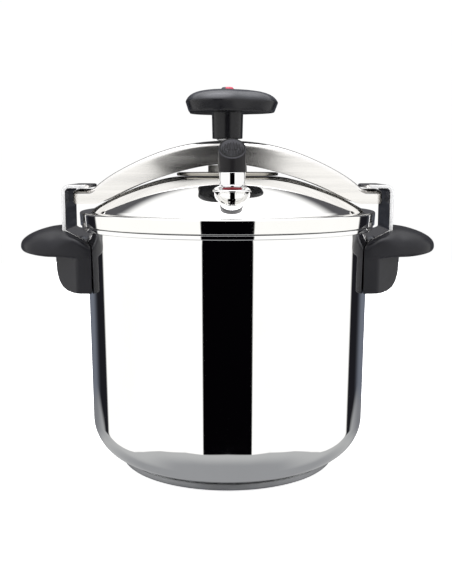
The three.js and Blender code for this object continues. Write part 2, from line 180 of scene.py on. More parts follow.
def turned_metal(name, tint, rough=(0.18, 0.32), centre=(0, 0), strength=0.12):
    """Lathe-turned metal: concentric tool marks."""
    m = Mat(name)
    v = m.polar(centre, (1.2, 2600, 2600))
    lines = m.noise(v, 1.0, 3, 0.55)
    cloud = m.noise(m.coords((60, 60, 60)), 1.0, 3, 0.5)
    m.set(metal=1.0, base=m.mix(m.ramp(cloud, 0, 1), tint, tuple(0.88 * t for t in tint)), rough=m.ramp(lines, rough[0], rough[1], 0.3, 0.7))
    m.bump(lines, strength, 0.00005)
    return m.m


def moulded(name, colour=(0.022, 0.022, 0.026), rough=(0.36, 0.5), grain=900, strength=0.08, spec=0.5):
    """Moulded phenolic plastic: fine spark-eroded grain and slight cloudiness."""
    m = Mat(name)
    g = m.noise(m.coords((1, 1, 1)), grain, 4, 0.6)
    cloud = m.noise(m.coords((1, 1, 1)), 38, 4, 0.55)
    m.set(base=m.mix(m.ramp(cloud, 0, 1), colour, tuple(1.35 * c for c in colour)), rough=m.math("ADD", m.ramp(cloud, rough[0], rough[1]), m.ramp(g, -0.03, 0.03)),
          spec=spec)
    m.bump(g, strength, 0.00012)
    return m.m


# ------------------------------------------------------------------ mesh helpers (millimetres in, metres out)
def make(name, verts, faces, mat, body, replaces=(), angle=35, smooth=True, origin=(0, 0, 0)):
    me = bpy.data.meshes.new(name)
    me.from_pydata([(x * MM, y * MM, z * MM) for x, y, z in verts], [], [tuple(f) for f in faces])
    me.validate(clean_customdata=False)
    bm = bmesh.new()
    bm.from_mesh(me)
    bmesh.ops.remove_doubles(bm, verts=bm.verts, dist=2e-7)
    bmesh.ops.dissolve_degenerate(bm, edges=bm.edges, dist=1e-7)
    bmesh.ops.recalc_face_normals(bm, faces=bm.faces)
    if bm.calc_volume(signed=True) < 0:
        bmesh.ops.reverse_faces(bm, faces=bm.faces)
    bm.to_mesh(me)
    bm.free()
    return finish_mesh(name, me, mat, body, replaces, angle, smooth, origin)


def finish_mesh(name, me, mat, body, replaces=(), angle=35, smooth=True, origin=(0, 0, 0)):
    o = bpy.data.objects.new(name, me)
    bpy.context.scene.collection.objects.link(o)
    if origin != (0, 0, 0):
        o.location = Vector(origin) * MM
    if smooth:
        me.shade_smooth()
        me.set_sharp_from_angle(angle=math.radians(angle))
    if mat is not None:
        me.materials.clear()
        me.materials.append(mat)
    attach(o, body)
    if replaces:
        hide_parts(*replaces)
    return o


def rounded(pts, radii, n=5, closed=True):
    """A 2-D outline with each corner rounded by its radius (a number for all, or a list)."""
    P = [np.array(p, float) for p in pts]
    N = len(P)
    R = [radii] * N if np.isscalar(radii) else list(radii)
    out = []
    for i in range(N):
        if not closed and i in (0, N - 1):
            out.append(P[i])
            continue
        a, b, c = P[i - 1], P[i], P[(i + 1) % N]
        u, v = a - b, c - b
        lu, lv = np.linalg.norm(u), np.linalg.norm(v)
        if R[i] <= 0 or lu < 1e-6 or lv < 1e-6:
            out.append(b)
            continue
        u, v = u / lu, v / lv
        cosang = np.clip(np.dot(u, v), -1, 1)
        ang = math.acos(cosang)
        if ang > math.radians(176):
            out.append(b)
            continue
        t = min(R[i] / math.tan(ang / 2), 0.48 * lu, 0.48 * lv)
        r = t * math.tan(ang / 2)
        bis = (u + v) / np.linalg.norm(u + v)
        cen = b + bis * (r / math.sin(ang / 2))
        s, e = b + u * t - cen, b + v * t - cen
        a0, a1 = math.atan2(s[1], s[0]), math.atan2(e[1], e[0])
        d = (a1 - a0 + math.pi) % (2 * math.pi) - math.pi
        k = max(2, int(math.ceil(n * abs(d) / (math.pi / 2))))
        for j in range(k + 1):
            q = a0 + d * j / k
            out.append(cen + r * np.array([math.cos(q), math.sin(q)]))
    return [tuple(p) for p in out]


def lathe(profile, seg, closed, centre=(0, 0)):
    """Vertices and faces of an (r, z) outline turned about Z. closed: the outline is a ring off the axis."""
    prof = [(max(0.0, r), z) for r, z in profile]
    rows, verts, faces = [], [], []
    for r, z in prof:
        if r < 1e-6:
            rows.append([len(verts)] * seg)
            verts.append((centre[0], centre[1], z))
        else:
            rows.append(list(range(len(verts), len(verts) + seg)))
            for i in range(seg):
                a = 2 * math.pi * i / seg
                verts.append((centre[0] + r * math.cos(a), centre[1] + r * math.sin(a), z))
    M = len(rows)
    for k in range(M if closed else M - 1):
        A, B = rows[k], rows[(k + 1) % M]
        for i in range(seg):
            j = (i + 1) % seg
            f = [A[i], A[j], B[j], B[i]]
            g = []
            for v in f:
                if v not in g:
                    g.append(v)
            if len(g) >= 3:
                faces.append(g)
    return verts, faces


def turned(name, profile, mat, body, replaces=(), seg=96, closed=True, r=0.35, centre=(0, 0), n=4, angle=35):
    prof = rounded(profile, r, n, closed=closed)
    v, f = lathe(prof, seg, closed, centre)
    return make(name, v, f, mat, body, replaces, angle)


def loft(sections, closed_ends=True, ring=True):
    """Faces joining equal-length point loops; the ends are capped."""
    verts, faces = [], []
    n = len(sections[0])
    for s in sections:
        verts += [tuple(p) for p in s]
    for k in range(len(sections) - 1):
        for i in range(n if ring else n - 1):
            j = (i + 1) % n
            a, b = k * n, (k + 1) * n
            faces.append((a + i, a + j, b + j, b + i))
    if closed_ends:
        faces.append(tuple(range(n)))
        faces.append(tuple(reversed(range((len(sections) - 1) * n, len(sections) * n))))
    return verts, faces


def spline(xs, ys):
    """Monotone cubic (PCHIP) through points; returns a function."""
    xs, ys = np.array(xs, float), np.array(ys, float)
    h = np.diff(xs)
    d = np.diff(ys) / h
    m = np.zeros(len(xs))
    for i in range(1, len(xs) - 1):
        if d[i - 1] * d[i] > 0:
            w1, w2 = 2 * h[i] + h[i - 1], h[i] + 2 * h[i - 1]
            m[i] = (w1 + w2) / (w1 / d[i - 1] + w2 / d[i])
    m[0], m[-1] = d[0], d[-1]

    def f(x):
        x = np.clip(np.asarray(x, float), xs[0], xs[-1])
        i = np.clip(np.searchsorted(xs, x, side="right") - 1, 0, len(xs) - 2)
        t = (x - xs[i]) / h[i]
        return ((2 * t**3 - 3 * t**2 + 1) * ys[i] + (t**3 - 2 * t**2 + t) * h[i] * m[i]
                + (-2 * t**3 + 3 * t**2) * ys[i + 1] + (t**3 - t**2) * h[i] * m[i + 1])
    return f


def smooth01(t):
    t = np.clip(t, 0, 1)
    return t * t * (3 - 2 * t)


def boolean(obj, cutter, op="DIFFERENCE"):
    """Applies an exact boolean to obj's mesh and removes the cutter."""
    md = obj.modifiers.new("cut", "BOOLEAN")
    md.operation = op
    md.solver = "EXACT"
    md.object = cutter
    bpy.context.view_layer.update()
    dg = bpy.context.evaluated_depsgraph_get()
    me = bpy.data.meshes.new_from_object(obj.evaluated_get(dg), depsgraph=dg)
    obj.modifiers.remove(md)
    old = obj.data
    obj.data = me
    bpy.data.meshes.remove(old)
    cme = cutter.data
    bpy.data.objects.remove(cutter)
    bpy.data.meshes.remove(cme)
    return obj


def raw(name, verts, faces):
    """A plain temporary object, used as a cutter or a blank."""
    me = bpy.data.meshes.new(name)
    me.from_pydata([(x * MM, y * MM, z * MM) for x, y, z in verts], [], [tuple(f) for f in faces])
    bm = bmesh.new()
    bm.from_mesh(me)
    bmesh.ops.remove_doubles(bm, verts=bm.verts, dist=2e-7)
    bmesh.ops.recalc_face_normals(bm, faces=bm.faces)
    if bm.calc_volume(signed=True) < 0:
        bmesh.ops.reverse_faces(bm, faces=bm.faces)
    bm.to_mesh(me)
    bm.free()
    o = bpy.data.objects.new(name, me)
    bpy.context.scene.collection.objects.link(o)
    return o


def remeshed(obj, voxel, smooth_iters, factor=0.5):
    """Fuses a blank's overlapping shells and softens its edges, as a moulding's are."""
    md = obj.modifiers.new("fuse", "REMESH")
    md.mode = "VOXEL"
    md.voxel_size = voxel * MM
    md.use_smooth_shade = True
    sm = obj.modifiers.new("soften", "SMOOTH")
    sm.factor = factor
    sm.iterations = smooth_iters
    bpy.context.view_layer.update()
    dg = bpy.context.evaluated_depsgraph_get()
    me = bpy.data.meshes.new_from_object(obj.evaluated_get(dg), depsgraph=dg)
    obj.modifiers.clear()
    old = obj.data
    obj.data = me
    bpy.data.meshes.remove(old)
    return obj


def arc(cx, cz, r, a0, a1, n):
    return [(cx + r * math.cos(math.radians(a0 + (a1 - a0) * i / n)), cz + r * math.sin(math.radians(a0 + (a1 - a0) * i / n))) for i in range(n + 1)]


# ------------------------------------------------------------------ materials
def bent_light(name, tint):
    """Brushed bow: the pressing's slight bulge turns its side faces outward toward the ends, so the normal leans with X."""
    m = Mat(name)
    tc = m.node("ShaderNodeTexCoord")
    sep = m.node("ShaderNodeSeparateXYZ")
    m.link(tc.outputs["Object"], sep.inputs[0])
    geo = m.node("ShaderNodeNewGeometry")
    nsep = m.node("ShaderNodeSeparateXYZ")
    m.link(geo.outputs["Normal"], nsep.inputs[0])
    lines = m.noise(m.coords((9, 260, 260)), 1.0, 3, 0.5)
    cloud = m.noise(m.coords((14, 30, 30)), 1.0, 2, 0.5)
    side = m.ramp(m.math("ABSOLUTE", nsep.outputs[1]), 0, 1, 0.55, 0.9)
    wob = m.ramp(cloud, -0.03, 0.03, 0.3, 0.7)
    lean = m.math("MULTIPLY", m.math("ADD", m.math("MULTIPLY", sep.outputs[0], 3.0), m.math("ADD", wob, 0.03)), side)
    comb = m.node("ShaderNodeCombineXYZ")
    m.link(lean, comb.inputs[0])
    comb.inputs[1].default_value = 0.0
    m.link(m.math("MULTIPLY", side, 0.05), comb.inputs[2])
    add = m.node("ShaderNodeVectorMath", operation="ADD")
    m.link(geo.outputs["Normal"], add.inputs[0])
    m.link(comb.outputs[0], add.inputs[1])
    nrm = m.node("ShaderNodeVectorMath", operation="NORMALIZE")
    m.link(add.outputs[0], nrm.inputs[0])
    bmp = m.node("ShaderNodeBump")
    bmp.inputs["Strength"].default_value = 0.03
    bmp.inputs["Distance"].default_value = 0.00004
    m.link(lines, bmp.inputs["Height"])
    m.link(nrm.outputs[0], bmp.inputs["Normal"])
    m.link(bmp.outputs[0], m.p.inputs["Normal"])
    m.set(metal=1.0, base=m.mix(m.ramp(lines, 0, 1, 0.35, 0.65), tint, tuple(0.93 * t for t in tint)), rough=m.ramp(lines, 0.20, 0.29, 0.3, 0.7))
    return m.m


def bright_ring(name):
    """Bead-blasted collar, paler than turned steel."""
    m = Mat(name)
    g = m.noise(m.coords((1, 1, 1)), 1400, 3, 0.6)
    m.set(base=m.mix(m.ramp(g, 0, 1), (0.84, 0.83, 0.81), (0.90, 0.89, 0.88)), metal=0.25, rough=m.ramp(g, 0.4, 0.5))
    m.bump(g, 0.05, 0.00005)
    return m.m


def two_tone(name, colour, other, split):
    """Inlay in two enamels that meet along a line across X."""
    m = Mat(name)
    tc = m.node("ShaderNodeTexCoord")
    sep = m.node("ShaderNodeSeparateXYZ")
    m.link(tc.outputs["Object"], sep.inputs[0])
    g = m.noise(m.coords((1, 1, 1)), 900, 3, 0.5)
    tint = m.mix(m.ramp(g, 0, 1), colour, tuple(1.1 * c for c in colour))
    m.set(base=m.mix(m.ramp(sep.outputs[0], 1, 0, split - 0.0002, split + 0.0002), tint, other), rough=m.ramp(g, 0.22, 0.3))
    m.bump(g, 0.02, 0.00005)
    return m.m


def faced(name, low, high, spec_low, spec_high, rough, z0, z1, rib_highlight=None):
    """Moulded black whose upward faces, between normal heights z0 and z1, pass to another polish and to another base
    colour. This is painted light set by which way the face points: a painted highlight where high is lighter than low,
    painted shade where it is darker.
    """
    m = Mat(name)
    geo = m.node("ShaderNodeNewGeometry")
    nsep = m.node("ShaderNodeSeparateXYZ")
    m.link(geo.outputs["Normal"], nsep.inputs[0])
    up = m.ramp(nsep.outputs[2], 0, 1, z0, z1)
    g = m.noise(m.coords((1, 1, 1)), 1200, 3, 0.6)
    cloud = m.noise(m.coords((1, 1, 1)), 60, 3, 0.5)
    # painted light: faces pointing up take colour high, the rest colour low
    base = m.mix(up, low, high)
    if rib_highlight:                                   # painted highlight: paler sides of ribs and rims
        rib_highlight_mask = m.math("MULTIPLY", m.ramp(nsep.outputs[2], 0, 1, 0.10, 0.35), m.math("SUBTRACT", 1.0, m.ramp(nsep.outputs[2], 0, 1, 0.62, 0.78)))
        base = m.mix(rib_highlight_mask, base, rib_highlight)
    m.set(base=m.mix(m.ramp(cloud, 0, 0.25), base, m.mix(up, tuple(1.8 * c for c in low), tuple(1.5 * c for c in high))),
          rough=m.math("ADD", m.ramp(cloud, rough[0], rough[1]), m.ramp(g, -0.03, 0.03)),
          spec=m.math("ADD", spec_low, m.math("MULTIPLY", up, spec_high - spec_low)))
    m.bump(g, 0.05, 0.00012)
    return m.m


def sheared_sheet(name, tint):
    """Bent sheet: polished faces, and satin sheared edges at its two ends across Y."""
    m = Mat(name)
    geo = m.node("ShaderNodeNewGeometry")
    nsep = m.node("ShaderNodeSeparateXYZ")
    m.link(geo.outputs["Normal"], nsep.inputs[0])
    edge = m.ramp(m.math("ABSOLUTE", nsep.outputs[1]), 0, 1, 0.72, 0.9)
    lines = m.noise(m.coords((300, 12, 300)), 1.0, 3, 0.5)
    face = m.mix(m.ramp(lines, 0, 1, 0.35, 0.65), tint, tuple(0.94 * t for t in tint))
    m.set(base=m.mix(edge, face, (0.66, 0.66, 0.665)), metal=m.ramp(edge, 1.0, 0.35, 0, 1),
          rough=m.math("ADD", m.ramp(lines, 0.10, 0.16, 0.3, 0.7), m.math("MULTIPLY", edge, 0.35)))
    m.bump(lines, 0.03, 0.00004)
    return m.m


M_POT = mirror_steel("pot_steel", tint=(0.985, 0.985, 0.985), rough=(0.012, 0.03), grain=0.008)
M_LID = mirror_steel("lid_steel", tint=(0.96, 0.955, 0.94), rough=(0.02, 0.04), grain=0.008)
M_BASE = turned_metal("base_steel", (0.34, 0.345, 0.36), (0.5, 0.62), strength=0.05)
M_CORE = turned_metal("core_aluminium", (0.72, 0.73, 0.74), (0.35, 0.5))
M_BOW = bent_light("bow_steel", (0.90, 0.885, 0.865))
M_HOOK = sheared_sheet("hook_steel", (0.80, 0.79, 0.78))
M_DISC = turned_metal("disc_steel", (0.40, 0.38, 0.34), (0.2, 0.32))
M_COLLAR = bright_ring("collar_steel")
M_CHROME = mirror_steel("valve_chrome", tint=(0.92, 0.92, 0.93), rough=(0.01, 0.03), turn_axis=(0.0036, -0.084))
M_HARD = turned_metal("hardware_steel", (0.62, 0.62, 0.64), (0.2, 0.34))
M_BRASS = turned_metal("valve_brass", (0.80, 0.62, 0.30), (0.2, 0.34), (0.0, 0.072))
M_BLACK = moulded("black_phenolic", (0.0075, 0.0075, 0.0095), (0.30, 0.40), 1100, 0.06, 0.28)
# painted highlight: the knob's upward faces take a lighter blue-grey base colour
M_KNOB = faced("knob_phenolic", (0.0058, 0.0058, 0.0074), (0.040, 0.042, 0.050), 0.34, 0.60, (0.20, 0.28), 0.30, 0.85)
# painted shade: the cap's slanted upward face takes a darker base colour, with less polish; painted highlight: paler
# sides of its ribs and rim
M_CAP = faced("valve_phenolic", (0.0068, 0.0062, 0.0070), (0.0026, 0.0026, 0.0030), 0.22, 0.06, (0.28, 0.38), 0.55, 0.80, (0.034, 0.034, 0.040))
M_RED = two_tone("badge_enamel", (0.46, 0.035, 0.075), (0.05, 0.052, 0.06), -0.0016)
M_GREY = moulded("badge_grey", (0.42, 0.43, 0.46), (0.25, 0.35), 900, 0.03)
M_SILICONE = moulded("red_silicone", (0.24, 0.022, 0.032), (0.5, 0.62), 700, 0.06, 0.35)
M_RUBBER = moulded("black_rubber", (0.05, 0.05, 0.053), (0.6, 0.75), 600, 0.1, 0.3)

# ------------------------------------------------------------------ pot and base
POT_T = 1.2
wall_r = lambda z: 120.8 + 0.012 * z
CORNER_R = 35.0
corner_z = 6.2 + CORNER_R
corner_c = wall_r(corner_z) - CORNER_R
rim_out = rounded([(wall_r(203), 203), (wall_r(208.4), 208.9), (124.9, 210.5), (126.2, 210.5), (126.2, 208.15), (127.45, 208.2), (127.5, 211.95), (122.3, 212.0), (wall_r(204) - POT_T, 203)],
                  [0, 1.6, 0.9, 0.1, 0.5, 0.6, 0.9, 1.4, 0], 6, closed=False)
pot_prof = [(0, 6.2), (30, 6.2), (60, 6.2)]
pot_prof += arc(corner_c, corner_z, CORNER_R, -90, 0, 44)
pot_prof += [(wall_r(z), z) for z in (60, 90, 120, 150, 180)]
pot_prof += rim_out
pot_prof += [(wall_r(z) - POT_T, z) for z in (180, 120, 60)]
pot_prof += arc(corner_c, corner_z, CORNER_R - POT_T, 0, -90, 30)
pot_prof += [(60, 7.4), (0, 7.4)]
v, f = lathe(pot_prof, 256, False)
pot = make("pot_shell", v, f, M_POT, "pot", ["pot_body"], 30)

turned("base_plate", [(0, 0), (92.3, 0), (96.1, 1.2), (96.1, 6.0), (95.3, 6.0), (95.2, 1.9), (92.0, 0.9), (0, 0.9)], M_BASE, "pot", ["base_cap"],
       256, False, [0, 1.5, 2.4, 0.3, 0.3, 1.5, 1.0, 0], n=7)
turned("base_disc", [(0, 1.1), (92.0, 1.1), (94.0, 2.3), (94.8, 3.4), (94.8, 5.9), (0, 5.9)], M_CORE, "pot", ["base_core"], 160, False,
       [0, 0.8, 0.8, 0.8, 0.4, 0], n=4)

# ------------------------------------------------------------------ lid
LID_T = 1.4
rr = np.array([45.2, 60.4, 77.4, 94.4, 111.5, 118.3])
zz = np.array([253.8, 250.5, 244.6, 237.8, 229.4, 225.1])
DOME = np.polyfit(rr, zz, 3)


def dome(r):
    r = np.asarray(r, float)
    outer = np.polyval(DOME, np.maximum(r, 43.0))
    top = 253.8
    k = 0.9                                     # soft step from the flat crown to the dome
    return -k * np.log(np.exp(-np.minimum(outer, 300) / k + 250 / k) + math.exp(-top / k + 250 / k)) + 250


def in_dome(r):
    r = np.asarray(r, float)
    d = (dome(r + 0.05) - dome(r - 0.05)) / 0.1
    return dome(r) - LID_T * np.sqrt(1 + d * d)


SEATS = [(3.6, -84.0, 242.7, 10.2, 15.2), (0.0, 72.0, 246.6, 8.6, 9.4)]


def smin(a, b, k=0.35):
    h = np.clip(0.5 + 0.5 * (b - a) / k, 0, 1)
    return b * (1 - h) + a * h - k * h * (1 - h)


def skin(x, y, inner=False):
    r = np.hypot(x, y)
    h = in_dome(r) if inner else dome(r)
    for cx, cy, z, b, c in SEATS:
        if inner:
            z, b, c = z - LID_T, b - LID_T, c + LID_T
        rv = np.hypot(x - cx, y - cy)
        low = smin(h, z)
        h = h + (low - h) * (1 - smooth01((rv - c) / 0.9))
        h = h + (z - h) * (1 - smooth01((rv - b) / 0.8))
    return h


def refine(lo, hi, coarse, zones):
    """Grid lines between lo and hi, denser inside each (a, b, step) zone."""
    xs, x = [lo], lo
    while x < hi - 1e-9:
        step = coarse
        for a, b, s in zones:
            if a - coarse * 0.5 < x < b:
                step = s
        x = min(hi, x + step)
        xs.append(x)
    return xs


r_lines = refine(0, 117.4, 2.6, [(41, 49, 0.5), (61.5, 66.5, 0.5), (66.5, 101.0, 0.42)])
a_lines = refine(-180.0, 180.0, 1.4, [(-90 + 2.46 - 12.5, -90 + 2.46 + 12.5, 0.3), (90 - 9.5, 90 + 9.5, 0.4)])[:-1]
RL, AL = np.array(r_lines[1:]), np.radians(np.array(a_lines))
na = len(AL)


def skin_rows(inner):
    rows = []
    for r in RL:
        x, y = r * np.cos(AL), r * np.sin(AL)
        z = skin(x, y, inner)
        rows.append(list(zip(x, y, z)))
    return rows


skirt = rounded([(117.4, float(dome(117.4))), (120.3, 223.75), (129.35, 223.7), (128.75, 212.3), (127.3, 212.3), (127.95, 222.35), (120.3, 222.35), (117.4, float(in_dome(117.4)))],
                [0, 3.0, 1.5, 0.6, 0.6, 0.8, 2.0, 0], 8, closed=False)
verts, faces = [], []
verts.append((0, 0, float(skin(np.array([0.0]), np.array([0.0]))[0])))
rows_o, rows_i = skin_rows(False), skin_rows(True)
ring_rows = rows_o + [[(r * math.cos(a), r * math.sin(a), z) for a in AL] for r, z in skirt[1:-1]] + rows_i[::-1]
for row in ring_rows:
    verts += row
verts.append((0, 0, float(skin(np.array([0.0]), np.array([0.0]), True)[0])))
for i in range(na):
    faces.append((0, 1 + i, 1 + (i + 1) % na))
for k in range(len(ring_rows) - 1):
    a, b = 1 + k * na, 1 + (k + 1) * na
    for i in range(na):
        j = (i + 1) % na
        faces.append((a + i, b + i, b + j, a + j))
last = 1 + (len(ring_rows) - 1) * na
for i in range(na):
    faces.append((len(verts) - 1, last + (i + 1) % na, last + i))
lid = raw("lid_shell", verts, faces)
for cx, cy, rad in ((3.6, -84.0, 5.3), (0.0, 72.0, 4.3)):
    cv, cf = lathe([(0, 225), (rad, 225), (rad, 262), (0, 262)], 48, False, (cx, cy))
    boolean(lid, raw("cutter", cv, cf))
me = lid.data
me.shade_smooth()
me.set_sharp_from_angle(angle=math.radians(38))
me.materials.clear()
me.materials.append(M_LID)
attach(lid, "lid")
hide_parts("lid")

turned("seal_ring", [(123.0, 212.45), (126.2, 212.45), (127.0, 220.6), (126.4, 221.8), (120.6, 221.8), (118.9, 221.0), (118.2, 216.0), (119.2, 215.7), (120.4, 219.2), (122.2, 219.6)],
       M_RUBBER, "lid", ["lid_gasket"], 192, True, 0.5, n=3)
turned("crown_disc", [(0, 254.1), (43.6, 254.1), (44.5, 254.5), (44.5, 256.4), (43.2, 257.0), (0, 257.0)], M_DISC, "lid", ["pressure_disc"], 160, False,
       [0, 0.4, 0.4, 0.7, 1.2, 0], n=5)
turned("screw_collar", [(12.6, 257.3), (17, 257.3), (17, 263.2), (9.1, 263.2), (9.1, 262.0), (12.6, 262.0)], M_COLLAR, "lid", ["spindle_retainer"], 96, True,
       [0.2, 0.2, 1.2, 0.3, 0.2, 0.2])

# ------------------------------------------------------------------ bow
tx = [0, 10.7, 22.4, 34, 42, 49, 56, 63, 70, 77, 84.5, 91.6, 98.7, 106]
tz = [284.5, 284.1, 283.0, 281.4, 279.6, 278.0, 275.8, 273.4, 270.5, 267.5, 264.1, 260.4, 256.5, 251.7]
TOPFIT = np.polyfit(np.array(tx, float)**2, np.array(tz, float), 4)
lx = [0, 11, 22, 33, 45, 57, 68, 79, 91, 102]
lz = [264.2, 263.7, 262.0, 259.9, 257.0, 253.6, 249.9, 245.5, 240.3, 234.8]
LOWFIT = np.polyfit(np.array(lx, float)**2, np.array(lz, float), 4)


def softmax2(a, b, k):
    m = np.maximum(a, b)
    return m + k * np.log(np.exp((a - m) / k) + np.exp((b - m) / k))


def bow_top(x):
    x = np.abs(np.asarray(x, float))
    c = np.polyval(TOPFIT, np.minimum(x, 112.0)**2) + np.where(x > 112, -0.9 * (x - 112), 0)
    return softmax2(c, np.full_like(c, 242.55), 0.9) - 0.0


def bow_low(x):
    x = np.abs(np.asarray(x, float))
    c = np.polyval(LOWFIT, np.minimum(x, 106.0)**2) + np.where(x > 106, -0.5 * (x - 106), 0)
    return softmax2(c, np.full_like(c, 230.3), 0.7)


BOW_W, BOW_T = 26.0, 2.6


def bow_section(x, grow=0.0, low_extra=0.0):
    """One cross-section loop of the bow at x; grow < 0 gives the hollow inside it."""
    zt, zl = float(bow_top(x)) + grow, float(bow_low(x)) - low_extra
    W = BOW_W - 1.0 + grow
    ax = abs(x)
    end = 133.0 + grow
    if ax > end - 5.5:                           # rounded plan corners and nosed end
        u = (ax - (end - 5.5)) / 5.5
        W -= 5.0 * (1 - math.sqrt(max(0, 1 - u * u)))
    if ax > end - 2.2:
        u = (ax - (end - 2.2)) / 2.2
        zt -= 1.8 * (1 - math.sqrt(max(0, 1 - u * u)))
        if low_extra == 0:
            zl += 4.0 * (1 - math.sqrt(max(0, 1 - u * u)))
    rc = min(4.6 + grow, 0.42 * (zt - zl))
    crown = 0.9
    pts = []
    h = zt - crown - rc - zl
    flare = 0.0
    lip = min(3.5, 0.5 * h) + low_extra
    for q in np.linspace(0, 1, 7):
        pts.append((-W - flare * (1 - q)**2, zl + lip * q))
    for q in np.linspace(0, 1, 6)[1:]:
        pts.append((-W, zl + lip + (h - lip) * q))
    for d in np.linspace(180, 97, 9)[1:]:
        pts.append((-W + rc + rc * math.cos(math.radians(d)), zt - crown - rc + rc * math.sin(math.radians(d))))
    y0 = abs(pts[-1][0])
    z0 = pts[-1][1]
    for q in np.linspace(0, 1, 10)[1:]:
        y = -y0 + y0 * q
        pts.append((y, z0 + (zt - z0) * (1 - (y / y0)**2)))
    pts += [(-y, z) for y, z in pts[:-1][::-1]]
    return [(x, y, z) for y, z in pts]


def bow_stations(end):
    xs = list(np.linspace(0, end - 24, 90)) + list(np.linspace(end - 24, end - 5.5, 26))[1:] + [end - 5.5 * (1 - math.sin(q)) for q in np.linspace(0, math.pi / 2, 12)[1:]]
    return [-x for x in xs[:0:-1]] + xs


bv, bf = loft([bow_section(x) for x in bow_stations(133.0)])
bow = raw("bow_channel", bv, bf)
iv, i_f = loft([bow_section(x, -BOW_T, 8.0) for x in bow_stations(133.0 - BOW_T)])
boolean(bow, raw("cutter", iv, i_f))
cv, cf = lathe([(0, 270), (8.8, 270), (8.8, 300), (0, 300)], 64, False)
boolean(bow, raw("cutter", cv, cf))
bow.data.shade_smooth()
bow.data.set_sharp_from_angle(angle=math.radians(32))
bow.data.materials.clear()
bow.data.materials.append(M_BOW)
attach(bow, "bow")
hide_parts("bow")
turned("bow_bush", [(6.5, 266.6), (10.2, 266.6), (10.2, 277.0), (13.2, 277.4), (13.2, 280.4), (8.4, 280.4), (8.4, 284.6), (6.5, 284.6)], M_HARD, "bow", ["bow_nut"],
       96, True, [0.4, 0.6, 0.8, 0.5, 0.3, 0.2, 0.4, 0.4])

# ------------------------------------------------------------------ side hooks
HOOK_X, HOOK_T, HOOK_W, TIP_X, HOOK_TOP = 141.8, 3.2, 28.0, 119.0, 246.8
SLOPE = math.radians(28)
leg_out = lambda x: 206.0 - (HOOK_X - x) * math.tan(SLOPE)
WELD_R = 123.7


def offset_path(pts, d):
    """The path pts moved d to the left of its direction, for a bent sheet's other face."""
    out = []
    for i, (x, z) in enumerate(pts):
        x0, z0 = pts[max(0, i - 1)]
        x1, z1 = pts[min(len(pts) - 1, i + 1)]
        L = math.hypot(x1 - x0, z1 - z0)
        out.append((x - (z1 - z0) / L * d, z + (x1 - x0) / L * d))
    return out


def hook_path():
    """Middle line of the bent sheet from the tip of the top flange to the foot of the weld plate."""
    t = HOOK_T / 2
    top = HOOK_TOP - t
    web = HOOK_X - t
    p = [(TIP_X, top), (TIP_X + 2, top), (TIP_X + 4, top), (TIP_X + 8, top), (130, top)]
    p += arc(web - 4.9, top - 4.9, 4.9, 90, 0, 9)
    p += [(web, z) for z in (236, 230, 224, 218, 213, 209.6)]
    zc = leg_out(web) + t / math.cos(SLOPE)
    # bend from the web into the sloping leg
    a = (web, 208.4)
    b = (web - 2.6, leg_out(web - 2.6) + t / math.cos(SLOPE))
    for q in np.linspace(0, 1, 6):
        c = (web, zc)
        p.append(((1 - q)**2 * a[0] + 2 * q * (1 - q) * c[0] + q * q * b[0], (1 - q)**2 * a[1] + 2 * q * (1 - q) * c[1] + q * q * b[1]))
    for x in (134, 131, 129):
        p.append((x, leg_out(x) + t / math.cos(SLOPE)))
    return p


